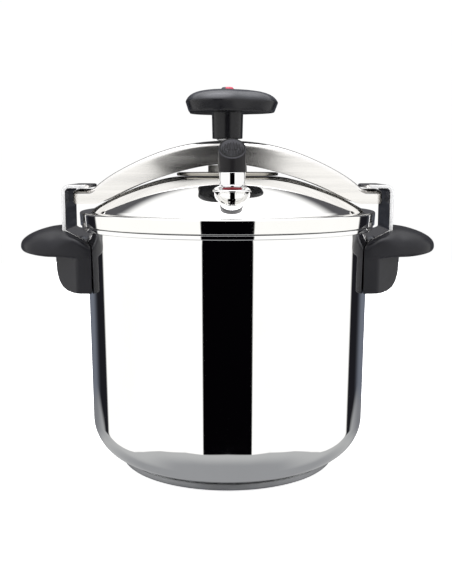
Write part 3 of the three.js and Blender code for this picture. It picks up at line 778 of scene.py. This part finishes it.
def hook_mesh(sign):
    path = hook_path()
    n_y = 30
    ys = np.concatenate([np.linspace(-HOOK_W + 1.0, HOOK_W - 1.0, n_y)])
    secs = []
    L = 0
    for i, (x, z) in enumerate(path):
        w = HOOK_W
        if x < TIP_X + 5 and z > 240:               # rounded corners of the tip
            u = (TIP_X + 5 - x) / 5
            w = HOOK_W - 5 + 5 * math.sqrt(max(0.0, 1 - u * u))
        x0, z0 = path[max(0, i - 1)]
        x1, z1 = path[min(len(path) - 1, i + 1)]
        d = math.hypot(x1 - x0, z1 - z0)
        nx, nz = -(z1 - z0) / d, (x1 - x0) / d      # outward face is on the left of the path
        t = HOOK_T / 2 - (0.5 if i == 0 else 0)
        e = 0.9
        loop = []
        wy = w - e
        for q in np.linspace(-1, 1, n_y):
            loop.append((wy * q, t))
        for a in (60, 30, 0, -30, -60):
            loop.append((wy + e * math.cos(math.radians(a)), t * math.sin(math.radians(a)) / 0.97))
        for q in np.linspace(1, -1, n_y):
            loop.append((wy * q, -t))
        for a in (-60, -30, 0, 30, 60):
            loop.append((-wy - e * math.cos(math.radians(a)), t * math.sin(math.radians(a)) / 0.97))
        secs.append([(sign * (x + nx * h), sign * y, z + nz * h) for y, h in loop])
    v, f = loft(secs)
    hook = raw("hook", v, f)
    # curved plate welded round the wall, with the leg running into it
    pv, pf = [], []
    half = HOOK_W / (WELD_R + HOOK_T)
    phis = np.linspace(-math.asin(half), math.asin(half), 40)
    prof = rounded([(WELD_R, 162), (WELD_R + HOOK_T, 162), (WELD_R + HOOK_T, 198.6), (WELD_R, 198.6)], [0.2, 1.1, 1.1, 0.2], 4)
    psecs = [[(sign * r * math.cos(p), sign * r * math.sin(p), z) for r, z in prof] for p in phis]
    pv, pf = loft(psecs)
    plate = raw("plate", pv, pf)
    # the leg's inner end is carried into the plate, then everything inside the wall is cut away
    lx0, lx1 = 130.0, 118.0
    lsec = []
    for x in np.linspace(lx0, lx1, 8):
        lo = leg_out(x)
        hi = lo + HOOK_T / math.cos(SLOPE)
        lsec.append([(sign * x, sign * y, z) for y, z in rounded([(-HOOK_W, lo), (HOOK_W, lo), (HOOK_W, hi), (-HOOK_W, hi)], [0.9] * 4, 4)])
    lv, lf = loft(lsec)
    leg = raw("leg", lv, lf)
    boolean(hook, leg, "UNION")
    cv, cf = lathe([(0, 150), (WELD_R, 150), (WELD_R, 215), (0, 215)], 220, False)
    boolean(hook, raw("cutter", cv, cf))
    boolean(hook, plate, "UNION")
    sv, sf = lathe([(0, -20), (3.0, -20), (3.0, 20), (0, 20)], 40, False)
    sv = [(sign * 127 + z, y, 168 + x) for x, y, z in sv]
    boolean(hook, raw("cutter", sv, sf))
    return hook


for side, sign in (("right", 1), ("left", -1)):
    hk = hook_mesh(sign)
    hk.name = f"{side}_hook_sheet"
    hk.data.shade_smooth()
    hk.data.set_sharp_from_angle(angle=math.radians(40))
    hk.data.materials.clear()
    hk.data.materials.append(M_HOOK)
    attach(hk, "pot")
    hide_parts(f"{side}_bracket")

# ------------------------------------------------------------------ side handles
GRIP = [(105, 155.5), (124, 155.3), (131, 155.5), (137, 156.6), (142, 159.3), (145.4, 164.0), (147.8, 171.0), (150.3, 181.0), (151.6, 187.6), (151.8, 190),
        (105, 190)]
WING = [(105, 47), (118, 47), (130, 45.5), (145, 43.2), (156.5, 40.2), (166, 36), (174, 29), (179.4, 19), (182, 9), (182.6, 0)]
BLOCK = [(105, 46.5), (113, 46.5), (127.5, 45.2), (137.5, 35.5), (147.5, 26), (150.6, 14), (151.8, 0)]
WTOP = spline([105, 121.5, 132, 138, 142.4, 147.8, 155, 161, 168, 174, 178.9, 181.9, 182.6], [190.5, 198.6, 204.2, 207.4, 209.4, 210.4, 209.7, 208.4, 206.2, 203.5, 200.2, 196.6, 194.2])
WLOW = spline([105, 151.6, 158, 166.2, 176, 180.6, 182.6], [186.2, 186.2, 186.5, 187.4, 189.2, 191.2, 194.0])
WHALF = spline([105, 118, 130, 145, 156.5, 166, 174, 179.4, 182, 182.6], [46.6, 46.3, 45.2, 43.2, 40.2, 36, 29, 19, 9, 1.0])


def wing_section(x):
    """Rounded cross-section of the wing: flat-bottomed, with full shoulders running up to a crowned top."""
    w, t, l = float(WHALF(x)), float(WTOP(x)), float(WLOW(x))
    h = t - l
    k = float(smooth01(np.array([(x - 127.0) / 22.0]))[0])       # upright cheek by the hook, full round shoulders farther out
    lo = l + (0.18 * k + (1 - k) * max(0.0, 1 - 4.0 / h)) * h
    pts = []
    rb = 0.25 + k * (min(3.0, 0.16 * h, 0.3 * w) - 0.25)
    for a in np.linspace(-90, 0, 6):
        pts.append((w - rb + rb * math.cos(math.radians(a)), l + rb + rb * math.sin(math.radians(a))))
    for a in np.linspace(0, 90, 22)[1:]:
        c, q = math.cos(math.radians(a)), math.sin(math.radians(a))
        big = w * c**(2 / 2.7)
        small = w - 4.0 + 4.0 * c if a < 89.9 else 0.0
        pts.append((k * big + (1 - k) * small, lo + (t - lo) * (k * q**(2 / 2.3) + (1 - k) * q)))
    return [(x, y, z) for y, z in pts] + [(x, -y, z) for y, z in pts[-2::-1]]


def plan_loop(half):
    """A closed plan outline, smoothed by a spline through the half outline's points."""
    p = [(x, -y) for x, y in half] + [(x, y) for x, y in half[-2::-1]]
    s = [0.0]
    for (x0, y0), (x1, y1) in zip(p, p[1:]):
        s.append(s[-1] + math.hypot(x1 - x0, y1 - y0))
    fx, fy = spline(s, [q[0] for q in p]), spline(s, [q[1] for q in p])
    return [(float(fx(t)), float(fy(t))) for t in np.linspace(0, s[-1], 90)]


def prism(loop, z0, z1):
    return loft([[(x, y, z) for x, y in loop] for z in (z0, z1)])


def side_prism(loop, y0, y1):
    return loft([[(x, y, z) for x, z in loop] for y in (y0, y1)])


def handle_mesh(sign):
    prof = rounded(GRIP, [0, 2, 3, 4, 5, 6, 8, 8, 1, 1, 0], 5)
    xs = list(np.linspace(105, 170, 40)) + list(np.linspace(170, 181.5, 16))[1:] + [182.0, 182.3, 182.5, 182.6]
    wing = raw("wing", *loft([wing_section(x) for x in xs]))
    block = raw("block", *prism(rounded([(105, -46.5), (113, -46.5), (127.5, -45.2), (137.5, -35.5), (147.5, -26), (150.6, -14), (151.8, 0), (150.6, 14), (147.5, 26),
                                         (137.5, 35.5), (127.5, 45.2), (113, 46.5), (105, 46.5)], [0, 8, 2.5, 8, 8, 8, 8, 8, 8, 8, 2.5, 8, 0], 5), 140, 189.6))
    boolean(block, raw("body", *side_prism(prof, -55, 55)), "INTERSECT")
    boolean(wing, block, "UNION")
    remeshed(wing, 0.8, 5, 0.5)
    cv, cf = lathe([(0, 130), (WELD_R, 130), (WELD_R, 260), (0, 260)], 220, False)
    boolean(wing, raw("cutter", cv, cf))
    pocket = [(WELD_R + HOOK_T + 0.4, 161.4), (WELD_R + HOOK_T + 0.4, 199), (WELD_R - 6, 199), (WELD_R - 6, 161.4)]
    phis = np.linspace(-0.2272, 0.2272, 30)
    boolean(wing, raw("cutter", *loft([[(r * math.cos(p), r * math.sin(p), z) for r, z in pocket] for p in phis])))
    cut = [(HOOK_X + 0.4, 230), (HOOK_X + 0.4, 206.2), (HOOK_X - 0.4, leg_out(HOOK_X - 0.4) - 0.5), (112, leg_out(112) - 0.5), (112, 230)]
    boolean(wing, raw("cutter", *side_prism(cut, -HOOK_W - 0.5, HOOK_W + 0.5)))
    for rad, x0, x1 in ((3.0, 110, 145), (4.8, 141.2, 170)):
        sv, sf = lathe([(0, x0), (rad, x0), (rad, x1), (0, x1)], 48, False)
        boolean(wing, raw("cutter", [(z, y, 168 + x) for x, y, z in sv], sf))
    if sign < 0:
        wing.data.transform(Matrix.Rotation(math.pi, 4, "Z"))
    return wing


for side, sign in (("right", 1), ("left", -1)):
    hd = handle_mesh(sign)
    hd.name = f"{side}_grip"
    hd.data.shade_smooth()
    hd.data.set_sharp_from_angle(angle=math.radians(35))
    hd.data.materials.clear()
    hd.data.materials.append(M_BLACK)
    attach(hd, "pot")
    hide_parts(f"{side}_handle")
    prof = rounded([(0, 124.3), (2.4, 124.3), (2.6, 124.8), (2.6, 141.5), (4.2, 141.5), (4.2, 144.5), (1.9, 144.5), (1.9, 142.6), (0, 142.6)],
                   [0, 0.2, 0.1, 0.1, 0.3, 1.3, 0.3, 0.2, 0], 4, closed=False)
    sv, sf = lathe(prof, 64, False)
    sv = [(sign * z, sign * y, 168 + x) for x, y, z in sv]
    make(f"{side}_grip_screw", sv, sf, M_HARD, "pot", [f"{side}_handle_screw"], 35)

# ------------------------------------------------------------------ knob
LOBE_C, LOBE_R = 15.0, 29.0


def grip_radius(phi):
    """Radial extent of the three-lobed grip: hull of three circles, with a little hollow between lobes."""
    best = 0.0
    for k in range(3):
        a = math.radians(120 * k)
        d = math.cos(phi - a)
        s = math.sin(phi - a)
        q = LOBE_R**2 - (LOBE_C * s)**2
        if q > 0:
            best = max(best, LOBE_C * d + math.sqrt(q))
    for k in range(3):
        a = math.radians(120 * k + 60)
        d = math.cos(phi - a)
        if d > 0.3:
            t = (LOBE_C * 0.5 + LOBE_R) / d
            if abs(t * math.sin(phi - a)) <= LOBE_C * math.sin(math.radians(60)):
                best = max(best, t)
    b = 0.5 - 0.5 * math.cos(3 * phi)
    return best * (1 - 0.035 * b * b)


def smooth_grip(phi):
    w = [1, 2, 3, 4, 3, 2, 1]
    return sum(k * grip_radius(phi + math.radians(1.6 * (i - 3))) for i, k in enumerate(w)) / sum(w)


KN = 216
phis = [2 * math.pi * i / KN for i in range(KN)]
grip = [smooth_grip(p) for p in phis]
lower = rounded([(6.5, 286), (13.2, 286), (13.7, 308.1), (15.6, 308.3)], [0.3, 0.7, 0.4, 0], 6, closed=False)
shares = [(0.86, 308.35), (0.908, 308.38), (0.922, 308.5), (0.930, 308.9), (0.945, 310.3), (0.957, 311.6), (0.971, 313.1), (0.984, 314.7), (0.994, 315.8),
          (0.999, 316.5), (0.996, 317.1), (0.985, 318.1), (0.962, 319.5), (0.93, 321.0), (0.89, 322.3), (0.84, 323.5), (0.77, 324.7), (0.68, 325.75),
          (0.58, 326.5), (0.47, 327.15), (0.36, 327.6), (0.25, 327.85)]
upper = rounded([(7.6, 328.0), (6.1, 328.0), (6.1, 321.4), (3.3, 321.4), (3.3, 317.9), (6.5, 317.9)], [0, 0.3, 0.2, 0.2, 0.2, 0.2], 4, closed=False)
secs = []
rows = [("r", r, z) for r, z in lower] + [("s", s, z) for s, z in shares] + [("r", r, z) for r, z in upper]
kv, kf = [], []
for kind, q, z in rows:
    for p, g in zip(phis, grip):
        r = q if kind == "r" else q * g
        kv.append((r * math.cos(p), r * math.sin(p), z))
nrow = len(rows)
for k in range(nrow):
    a, b = k * KN, ((k + 1) % nrow) * KN
    for i in range(KN):
        j = (i + 1) % KN
        kf.append((a + i, a + j, b + j, b + i))
kno = make("screw_knob", kv, kf, M_KNOB, "knob", ["knob"], 34)
turned("knob_emblem", [(0, 325.2), (5.6, 325.2), (5.6, 328.6), (4.4, 330.1), (0, 330.3)], M_RED, "knob", ["knob_badge"], 72, False,
       [0, 0.2, 1.2, 1.8, 0], n=6)
turned("knob_bolt", [(0, 307.4), (2.8, 307.4), (2.8, 321.8), (5, 321.8), (5, 324.8), (0, 324.8)], M_HARD, "knob", ["knob_screw"], 64, False,
       [0, 0.4, 0.3, 0.2, 0.9, 0], n=5)
turned("clamp_screw", [(0, 259.7), (4.6, 259.7), (6, 261), (6, 317.4), (3.2, 317.4), (3.2, 306.4), (0, 306.4)], M_HARD, "knob", ["spindle"], 96, False,
       [0, 0.3, 0.4, 0.8, 0.3, 0.2, 0], n=5)
turned("stem_washer", [(6.6, 284.85), (9.2, 284.85), (9.2, 285.75), (6.6, 285.75)], M_HARD, "knob", ["spindle_washer"], 72, True, 0.2)
turned("screw_foot", [(0, 257.4), (11.2, 257.4), (12.1, 258.2), (12.1, 261.6), (8.5, 261.6), (8.5, 264.2), (6.5, 264.2), (6.5, 259.4), (0, 259.4)],
       M_HARD, "knob", ["thrust_pad"], 96, False, [0, 0.3, 0.3, 0.5, 0.4, 0.4, 0.2, 0.2, 0], n=4)

# ------------------------------------------------------------------ working valve
VX, VY = 3.6, -84.0
VC = (VX, VY)
turned("steam_pipe", [(1.7, 226), (4.8, 226), (4.8, 242.9), (14.4, 242.9), (14.4, 244.3), (3.3, 244.3), (3.3, 261.5), (1.7, 261.5)],
       M_CHROME, "lid", ["vent_pipe"], 96, True, [0.2, 0.5, 0.2, 0.6, 0.6, 0.2, 0.6, 0.3], VC, 5)
turned("valve_seal", [(3.7, 244.5), (7.9, 244.5), (7.9, 245.7), (3.7, 245.7)], M_SILICONE, "lid", ["valve_ring"], 72, True, 0.7, VC, 5)
turned("valve_housing", [(3.8, 245.9), (7.8, 245.9), (10.7, 248.2), (10.7, 258), (7.1, 258), (7.1, 252.2), (3.8, 252.2)],
       M_CHROME, "working_valve", ["valve_body"], 128, True, [0.3, 0.6, 1.3, 0.5, 0.3, 0.2, 0.2], VC, 6)

CAP_R, CUT_Z, CUT_A = 10.8, 276.65, math.radians(36)
cap_n = 160


def cap_top(x, y):
    """Height of the slanted face over the cap's own axis, with its raised rim and its ribs."""
    t = math.tan(CUT_A)
    z = CUT_Z + t * y
    r = math.hypot(x, y)
    rim = 1 - float(smooth01(np.array([(r - 7.9) / 1.5]))[0]) if r < 9.6 else 0.0
    ribs = 0.5 + 0.5 * math.cos(2 * math.pi * x / 2.15)
    fade = float(smooth01(np.array([(8.8 - r) / 2.0]))[0])
    return z - 0.95 * rim - 0.8 * ribs * fade


cap_rings = [0.0, 0.9, 1.8, 2.7, 3.6, 4.5, 5.3, 6.1, 6.8, 7.4, 7.9, 8.3, 8.7, 9.1, 9.5, 9.9]
capv, capf = [], []
outer = [(10.25, 0.02), (10.55, -0.2), (10.74, -0.55), (10.8, -1.0)]
capv.append((VX, VY, cap_top(0, 0)))
rows = []
for r in cap_rings[1:]:
    rows.append([(r * math.cos(2 * math.pi * i / cap_n), r * math.sin(2 * math.pi * i / cap_n)) for i in range(cap_n)])
grid = [[(VX + x, VY + y, cap_top(x, y)) for x, y in row] for row in rows]
for r, dz in outer:
    row = []
    for i in range(cap_n):
        x, y = r * math.cos(2 * math.pi * i / cap_n), r * math.sin(2 * math.pi * i / cap_n)
        row.append((VX + x, VY + y, CUT_Z + math.tan(CUT_A) * y + dz))
    grid.append(row)
for q in (0.25, 0.5, 0.75):
    row = []
    for i in range(cap_n):
        x, y = CAP_R * math.cos(2 * math.pi * i / cap_n), CAP_R * math.sin(2 * math.pi * i / cap_n)
        zt = CUT_Z + math.tan(CUT_A) * y - 1.0
        row.append((VX + x, VY + y, zt + (259.0 - zt) * q))
    grid.append(row)
for r, z in rounded([(10.8, 259.0), (10.8, 258.2), (6.8, 258.2), (6.8, 253.6), (4.9, 253.6), (4.9, 270.6), (0, 270.6)], [0, 0.5, 0.2, 0.3, 0.3, 0.6, 0], 4, closed=False)[:-1]:
    grid.append([(VX + r * math.cos(2 * math.pi * i / cap_n), VY + r * math.sin(2 * math.pi * i / cap_n), z) for i in range(cap_n)])
for row in grid:
    capv += row
capv.append((VX, VY, 270.6))
for i in range(cap_n):
    capf.append((0, 1 + i, 1 + (i + 1) % cap_n))
for k in range(len(grid) - 1):
    a, b = 1 + k * cap_n, 1 + (k + 1) * cap_n
    for i in range(cap_n):
        j = (i + 1) % cap_n
        capf.append((a + i, b + i, b + j, a + j))
lastr = 1 + (len(grid) - 1) * cap_n
for i in range(cap_n):
    capf.append((len(capv) - 1, lastr + (i + 1) % cap_n, lastr + i))
make("valve_selector", capv, capf, M_CAP, "working_valve", ["valve_cap"], 30)
turned("valve_pin", [(0, 259.8), (0.5, 259.8), (1.3, 261.2), (1.3, 262.6), (4.4, 262.6), (4.4, 264), (1.5, 264), (1.5, 268), (0, 268)], M_HARD, "valve_needle",
       ["valve_needle"], 48, False, [0, 0.2, 0.3, 0.1, 0.3, 0.3, 0.2, 0.4, 0], VC, 4)
turned("vent_seal", [(5, 240.2), (8.3, 240.2), (8.3, 241.15), (5, 241.15)], M_RUBBER, "lid", ["vent_gasket"], 72, True, 0.25, VC)


def hex_nut(name, cx, cy, corner, bore, z0, z1, node):
    ring = []
    hexr = lambda a: corner * math.cos(math.pi / 6) / math.cos((a % (math.pi / 3)) - math.pi / 6)
    n = 96
    prof = [(1, 0.0), (1, 1.0)]
    v, f = [], []
    rows = [(bore, z0, 0), (None, z0, 0.5), (None, z0 + 0.6, 0), (None, z1 - 0.6, 0), (None, z1, 0.5), (bore, z1, 0)]
    for r, z, ch in rows:
        for i in range(n):
            a = 2 * math.pi * i / n
            q = bore if r is not None else min(hexr(a) * 1.0, corner - 0.35) - ch * 0.6
            v.append((cx + q * math.cos(a), cy + q * math.sin(a), z))
    m = len(rows)
    for k in range(m):
        a0, b0 = k * n, ((k + 1) % m) * n
        for i in range(n):
            j = (i + 1) % n
            f.append((a0 + i, a0 + j, b0 + j, b0 + i))
    make(name, v, f, M_HARD, "lid", [node], 28)


hex_nut("vent_locknut", VX, VY, 8.3, 5.0, 234.8, 240.05, "vent_nut")

# ------------------------------------------------------------------ safety valve behind the bow
SC = (0.0, 72.0)
turned("safety_housing", [(1.9, 236.5), (3.9, 236.5), (3.9, 246.8), (8, 246.8), (8, 249.2), (6.4, 249.2), (6.4, 254.1), (1.9, 254.1), (1.9, 253), (4.4, 253), (4.4, 248.4), (1.9, 248.4)],
       M_BRASS, "lid", ["safety_body"], 96, True, [0.2, 0.4, 0.2, 0.3, 0.7, 0.3, 0.7, 0.3, 0.2, 0.2, 0.2, 0.2], SC, 4)
turned("safety_pin", [(0, 237.2), (1.4, 237.2), (1.4, 248.7), (3.9, 248.7), (3.9, 249.6), (1.4, 249.6), (1.4, 255.4), (0, 255.4)], M_HARD, "safety_plunger",
       ["safety_plunger"], 48, False, [0, 0.4, 0.1, 0.2, 0.2, 0.1, 0.5, 0], SC, 4)
turned("safety_seal", [(4.1, 244.1), (6.9, 244.1), (6.9, 245.05), (4.1, 245.05)], M_RUBBER, "lid", ["safety_gasket"], 64, True, 0.25, SC)
hex_nut("safety_locknut", 0.0, 72.0, 6.9, 4.1, 239.2, 243.95, "safety_nut")


# ------------------------------------------------------------------ the two coil springs
def coil(name, centre, r_low, r_high, wire, z0, z1, turns, body, node):
    """Round-wire spring with closed end coils, between heights z0 and z1 outside; r_low and r_high are its coil radii at the two ends."""
    n, ring = int(turns * 40), 12
    v, f = [], []
    for i in range(n + 1):
        t = i / n
        w = t * turns
        rise = float(smooth01(np.array([min(1.0, max(0.0, (w - 0.35) / (turns - 0.7)))]))[0]) * 0.35 + 0.65 * min(1.0, max(0.0, (w - 0.35) / (turns - 0.7)))
        z = z0 + wire + (z1 - z0 - 2 * wire) * rise
        r = r_low + (r_high - r_low) * t
        a = 2 * math.pi * w
        for k in range(ring):
            q = 2 * math.pi * k / ring
            rad = r + wire * math.cos(q)
            v.append((centre[0] + rad * math.cos(a), centre[1] + rad * math.sin(a), z + wire * math.sin(q)))
    for i in range(n):
        for k in range(ring):
            j = (k + 1) % ring
            f.append((i * ring + k, i * ring + j, (i + 1) * ring + j, (i + 1) * ring + k))
    f.append(tuple(range(ring))[::-1])
    f.append(tuple(n * ring + k for k in range(ring)))
    o = make(name, v, f, M_HARD, body, [node], 40)
    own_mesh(o)
    return o


coil("valve_coil", VC, 3.1, 3.1, 0.42, 264.25, 270.3, 4.0, "working_valve", "valve_spring")
coil("safety_coil", SC, 2.15, 3.7, 0.28, 249.9, 252.75, 2.5, "lid", "safety_spring")


# ------------------------------------------------------------------ studio
def stage_floor():
    me = bpy.data.meshes.new("studio_floor")
    R, n = 1.6, 96
    vs = [(R * math.cos(2 * math.pi * i / n), R * math.sin(2 * math.pi * i / n), -0.0006) for i in range(n)]
    me.from_pydata(vs, [], [tuple(range(n))])
    o = bpy.data.objects.new("studio_floor", me)
    bpy.context.scene.collection.objects.link(o)
    m = Mat("floor_paper")
    grain = m.noise(m.coords((1, 1, 1)), 90, 3, 0.5)
    m.set(base=m.mix(m.ramp(grain, 0, 1), (0.93, 0.93, 0.93), (0.95, 0.95, 0.95)), rough=0.9, spec=0.0)
    m.p.inputs["Emission Color"].default_value = (1, 1, 1, 1)
    m.p.inputs["Emission Strength"].default_value = 0.72
    me.materials.append(m.m)
    o.visible_glossy = False
    return o


def stage_dome():
    me = bpy.data.meshes.new("studio_dome")
    bm = bmesh.new()
    bmesh.ops.create_uvsphere(bm, u_segments=48, v_segments=24, radius=6.0)
    bmesh.ops.reverse_faces(bm, faces=bm.faces)
    bm.to_mesh(me)
    bm.free()
    o = bpy.data.objects.new("studio_dome", me)
    bpy.context.scene.collection.objects.link(o)
    m = Mat("dome_white")
    em = m.node("ShaderNodeEmission")
    n = m.noise(m.coords((1, 1, 1)), 0.3, 1, 0.5)
    em.inputs[1].default_value = 1.0
    m.link(m.mix(m.ramp(n, 0, 1), (1.0, 1.0, 1.0), (1.02, 1.02, 1.02)), em.inputs[0])
    m.nt.nodes.remove(m.p)
    m.link(em.outputs[0], m.out.inputs[0])
    me.materials.append(m.m)
    for a in ("visible_diffuse", "visible_glossy", "visible_transmission", "visible_volume_scatter", "visible_shadow"):
        setattr(o, a, False)
    return o


stage_floor()
stage_dome()

# the studio's panels, as a pattern by direction
world = bpy.data.worlds.new("studio")
bpy.context.scene.world = world
world.use_nodes = True
wn = world.node_tree
wn.nodes.clear()


def wnode(kind, **kw):
    n = wn.nodes.new(kind)
    for k, v in kw.items():
        setattr(n, k, v)
    return n


def wmath(op, a, b=0.0, c=0.0):
    n = wnode("ShaderNodeMath", operation=op)
    for i, v in enumerate((a, b, c)):
        if hasattr(v, "is_output"):
            wn.links.new(v, n.inputs[i])
        else:
            n.inputs[i].default_value = v
    return n.outputs[0]


def wstep(v, lo, hi):
    n = wnode("ShaderNodeMapRange", interpolation_type="SMOOTHSTEP")
    for i, q in enumerate((v, lo, hi, 0.0, 1.0)):
        if hasattr(q, "is_output"):
            wn.links.new(q, n.inputs[i])
        else:
            n.inputs[i].default_value = q
    return n.outputs[0]


def wmix(f, a, b):
    n = wnode("ShaderNodeMix", data_type="RGBA")
    for s, v in ((n.inputs[0], f), (n.inputs[6], a), (n.inputs[7], b)):
        if hasattr(v, "is_output"):
            wn.links.new(v, s)
        else:
            s.default_value = v
    return n.outputs[2]


tc = wnode("ShaderNodeTexCoord")
sep = wnode("ShaderNodeSeparateXYZ")
wn.links.new(tc.outputs["Generated"], sep.inputs[0])
X, Y, Z = sep.outputs
elev = wmath("MULTIPLY", wmath("ARCSINE", wmath("MAXIMUM", wmath("MINIMUM", Z, 1.0), -1.0)), 57.29578)
azim = wmath("MULTIPLY", wmath("ARCTAN2", X, wmath("MULTIPLY", Y, -1.0)), 57.29578)   # 0 at the front, + to the right
side_a = wmath("ABSOLUTE", azim)

WHITE, IVORY, BLACK = (1.12, 1.12, 1.12, 1), (1.07, 1.065, 1.045, 1), (0.0009, 0.0007, 0.0012, 1)
SLATE = (0.15, 0.165, 0.20, 1)
PITCH = (0.012, 0.012, 0.015, 1)
GREY = (0.47, 0.475, 0.475, 1)
DEEP = (0.30, 0.305, 0.315, 1)


def wcurve(v, points):
    """Piecewise-linear value through (input, output) points, from map ranges added end to end."""
    total = points[0][1]
    for (x0, y0), (x1, y1) in zip(points, points[1:]):
        n = wnode("ShaderNodeMapRange")
        for i, q in enumerate((v, x0, x1, 0.0, y1 - y0)):
            if hasattr(q, "is_output"):
                wn.links.new(q, n.inputs[i])
            else:
                n.inputs[i].default_value = q
        total = wmath("ADD", n.outputs[0], total)
    return total


# the panels' lower edge, by azimuth: straight in front, with large rounded outer corners
floor_el = wcurve(side_a, [(0, -22.1), (20, -23.4), (35, -21.6), (58, -24.5), (80, -33.0), (95, -36.3), (102, -35.2), (108, -32.6), (114, -28.5), (118, -23.5), (121, -20.5), (127, -18.2), (134, -16.6), (140, -15.8)])
low = wmath("SUBTRACT", elev, floor_el)                              # > 0 above the panels' lower edge
under = wstep(low, 0.9, -0.9)
# dark card behind the camera
card = wmath("MULTIPLY", wstep(side_a, 20.3, 19.3), wstep(elev, 34.0, 30.0))
# dark room behind the pot: a black edge first, then blue-grey, then black again straight behind
back = wmath("MULTIPLY", wstep(side_a, 117.5, 120.5), wstep(elev, 40.0, 32.0))
room = wmix(wstep(side_a, 131.0, 147.0), PITCH, SLATE)
room = wmix(wstep(side_a, 163.0, 170.0), room, PITCH)
room = wmix(wstep(elev, -3.0, 2.0), room, (0.10, 0.10, 0.108, 1))
sky = wmix(wstep(elev, 25.0, 6.0), WHITE, IVORY)
over = wstep(elev, 50.0, 72.0)
sky = wmix(over, sky, (3.4, 3.4, 3.5, 1))
c = wmix(back, sky, room)
c = wmix(card, c, BLACK)
ground = wmix(wstep(low, -4.0, -34.0), GREY, DEEP)
ground = wmix(wmath("MULTIPLY", wstep(side_a, 112.0, 150.0), wstep(low, -14.0, -2.0)), ground, (0.20, 0.205, 0.22, 1))
c = wmix(under, c, ground)
bg = wnode("ShaderNodeBackground")
wn.links.new(c, bg.inputs[0])
bg.inputs[1].default_value = 1.0
wo = wnode("ShaderNodeOutputWorld")
wn.links.new(bg.outputs[0], wo.inputs[0])


def area(name, loc, target, size, power, size_y=None, glossy=True):
    ld = bpy.data.lights.new(name, "AREA")
    ld.energy = power
    ld.shape = "RECTANGLE"
    ld.size = size
    ld.size_y = size_y or size
    o = bpy.data.objects.new(name, ld)
    bpy.context.scene.collection.objects.link(o)
    o.location = loc
    o.rotation_euler = (Vector(target) - Vector(loc)).to_track_quat("-Z", "Y").to_euler()
    o.visible_glossy = glossy
    o.visible_camera = False
    return o


area("soft_top", (0.0, -0.35, 1.5), (0, 0, 0.2), 1.2, 9, glossy=False)
area("soft_left", (-1.2, -0.7, 0.8), (0, 0, 0.2), 0.9, 5, glossy=False)
area("soft_right", (1.2, -0.7, 0.8), (0, 0, 0.2), 0.9, 5, glossy=False)

cam_data = bpy.data.cameras.new("camera")
cam_data.lens = 51.73
cam_data.sensor_width = 36.0
cam = bpy.data.objects.new("camera", cam_data)
bpy.context.scene.collection.objects.link(cam)
cam.location = (-0.0013, -0.7471, 0.26465)
cam.rotation_euler = (math.pi / 2 - 0.152, 0, 0)
bpy.context.scene.camera = cam
bpy.context.scene.view_settings.view_transform = "Standard"
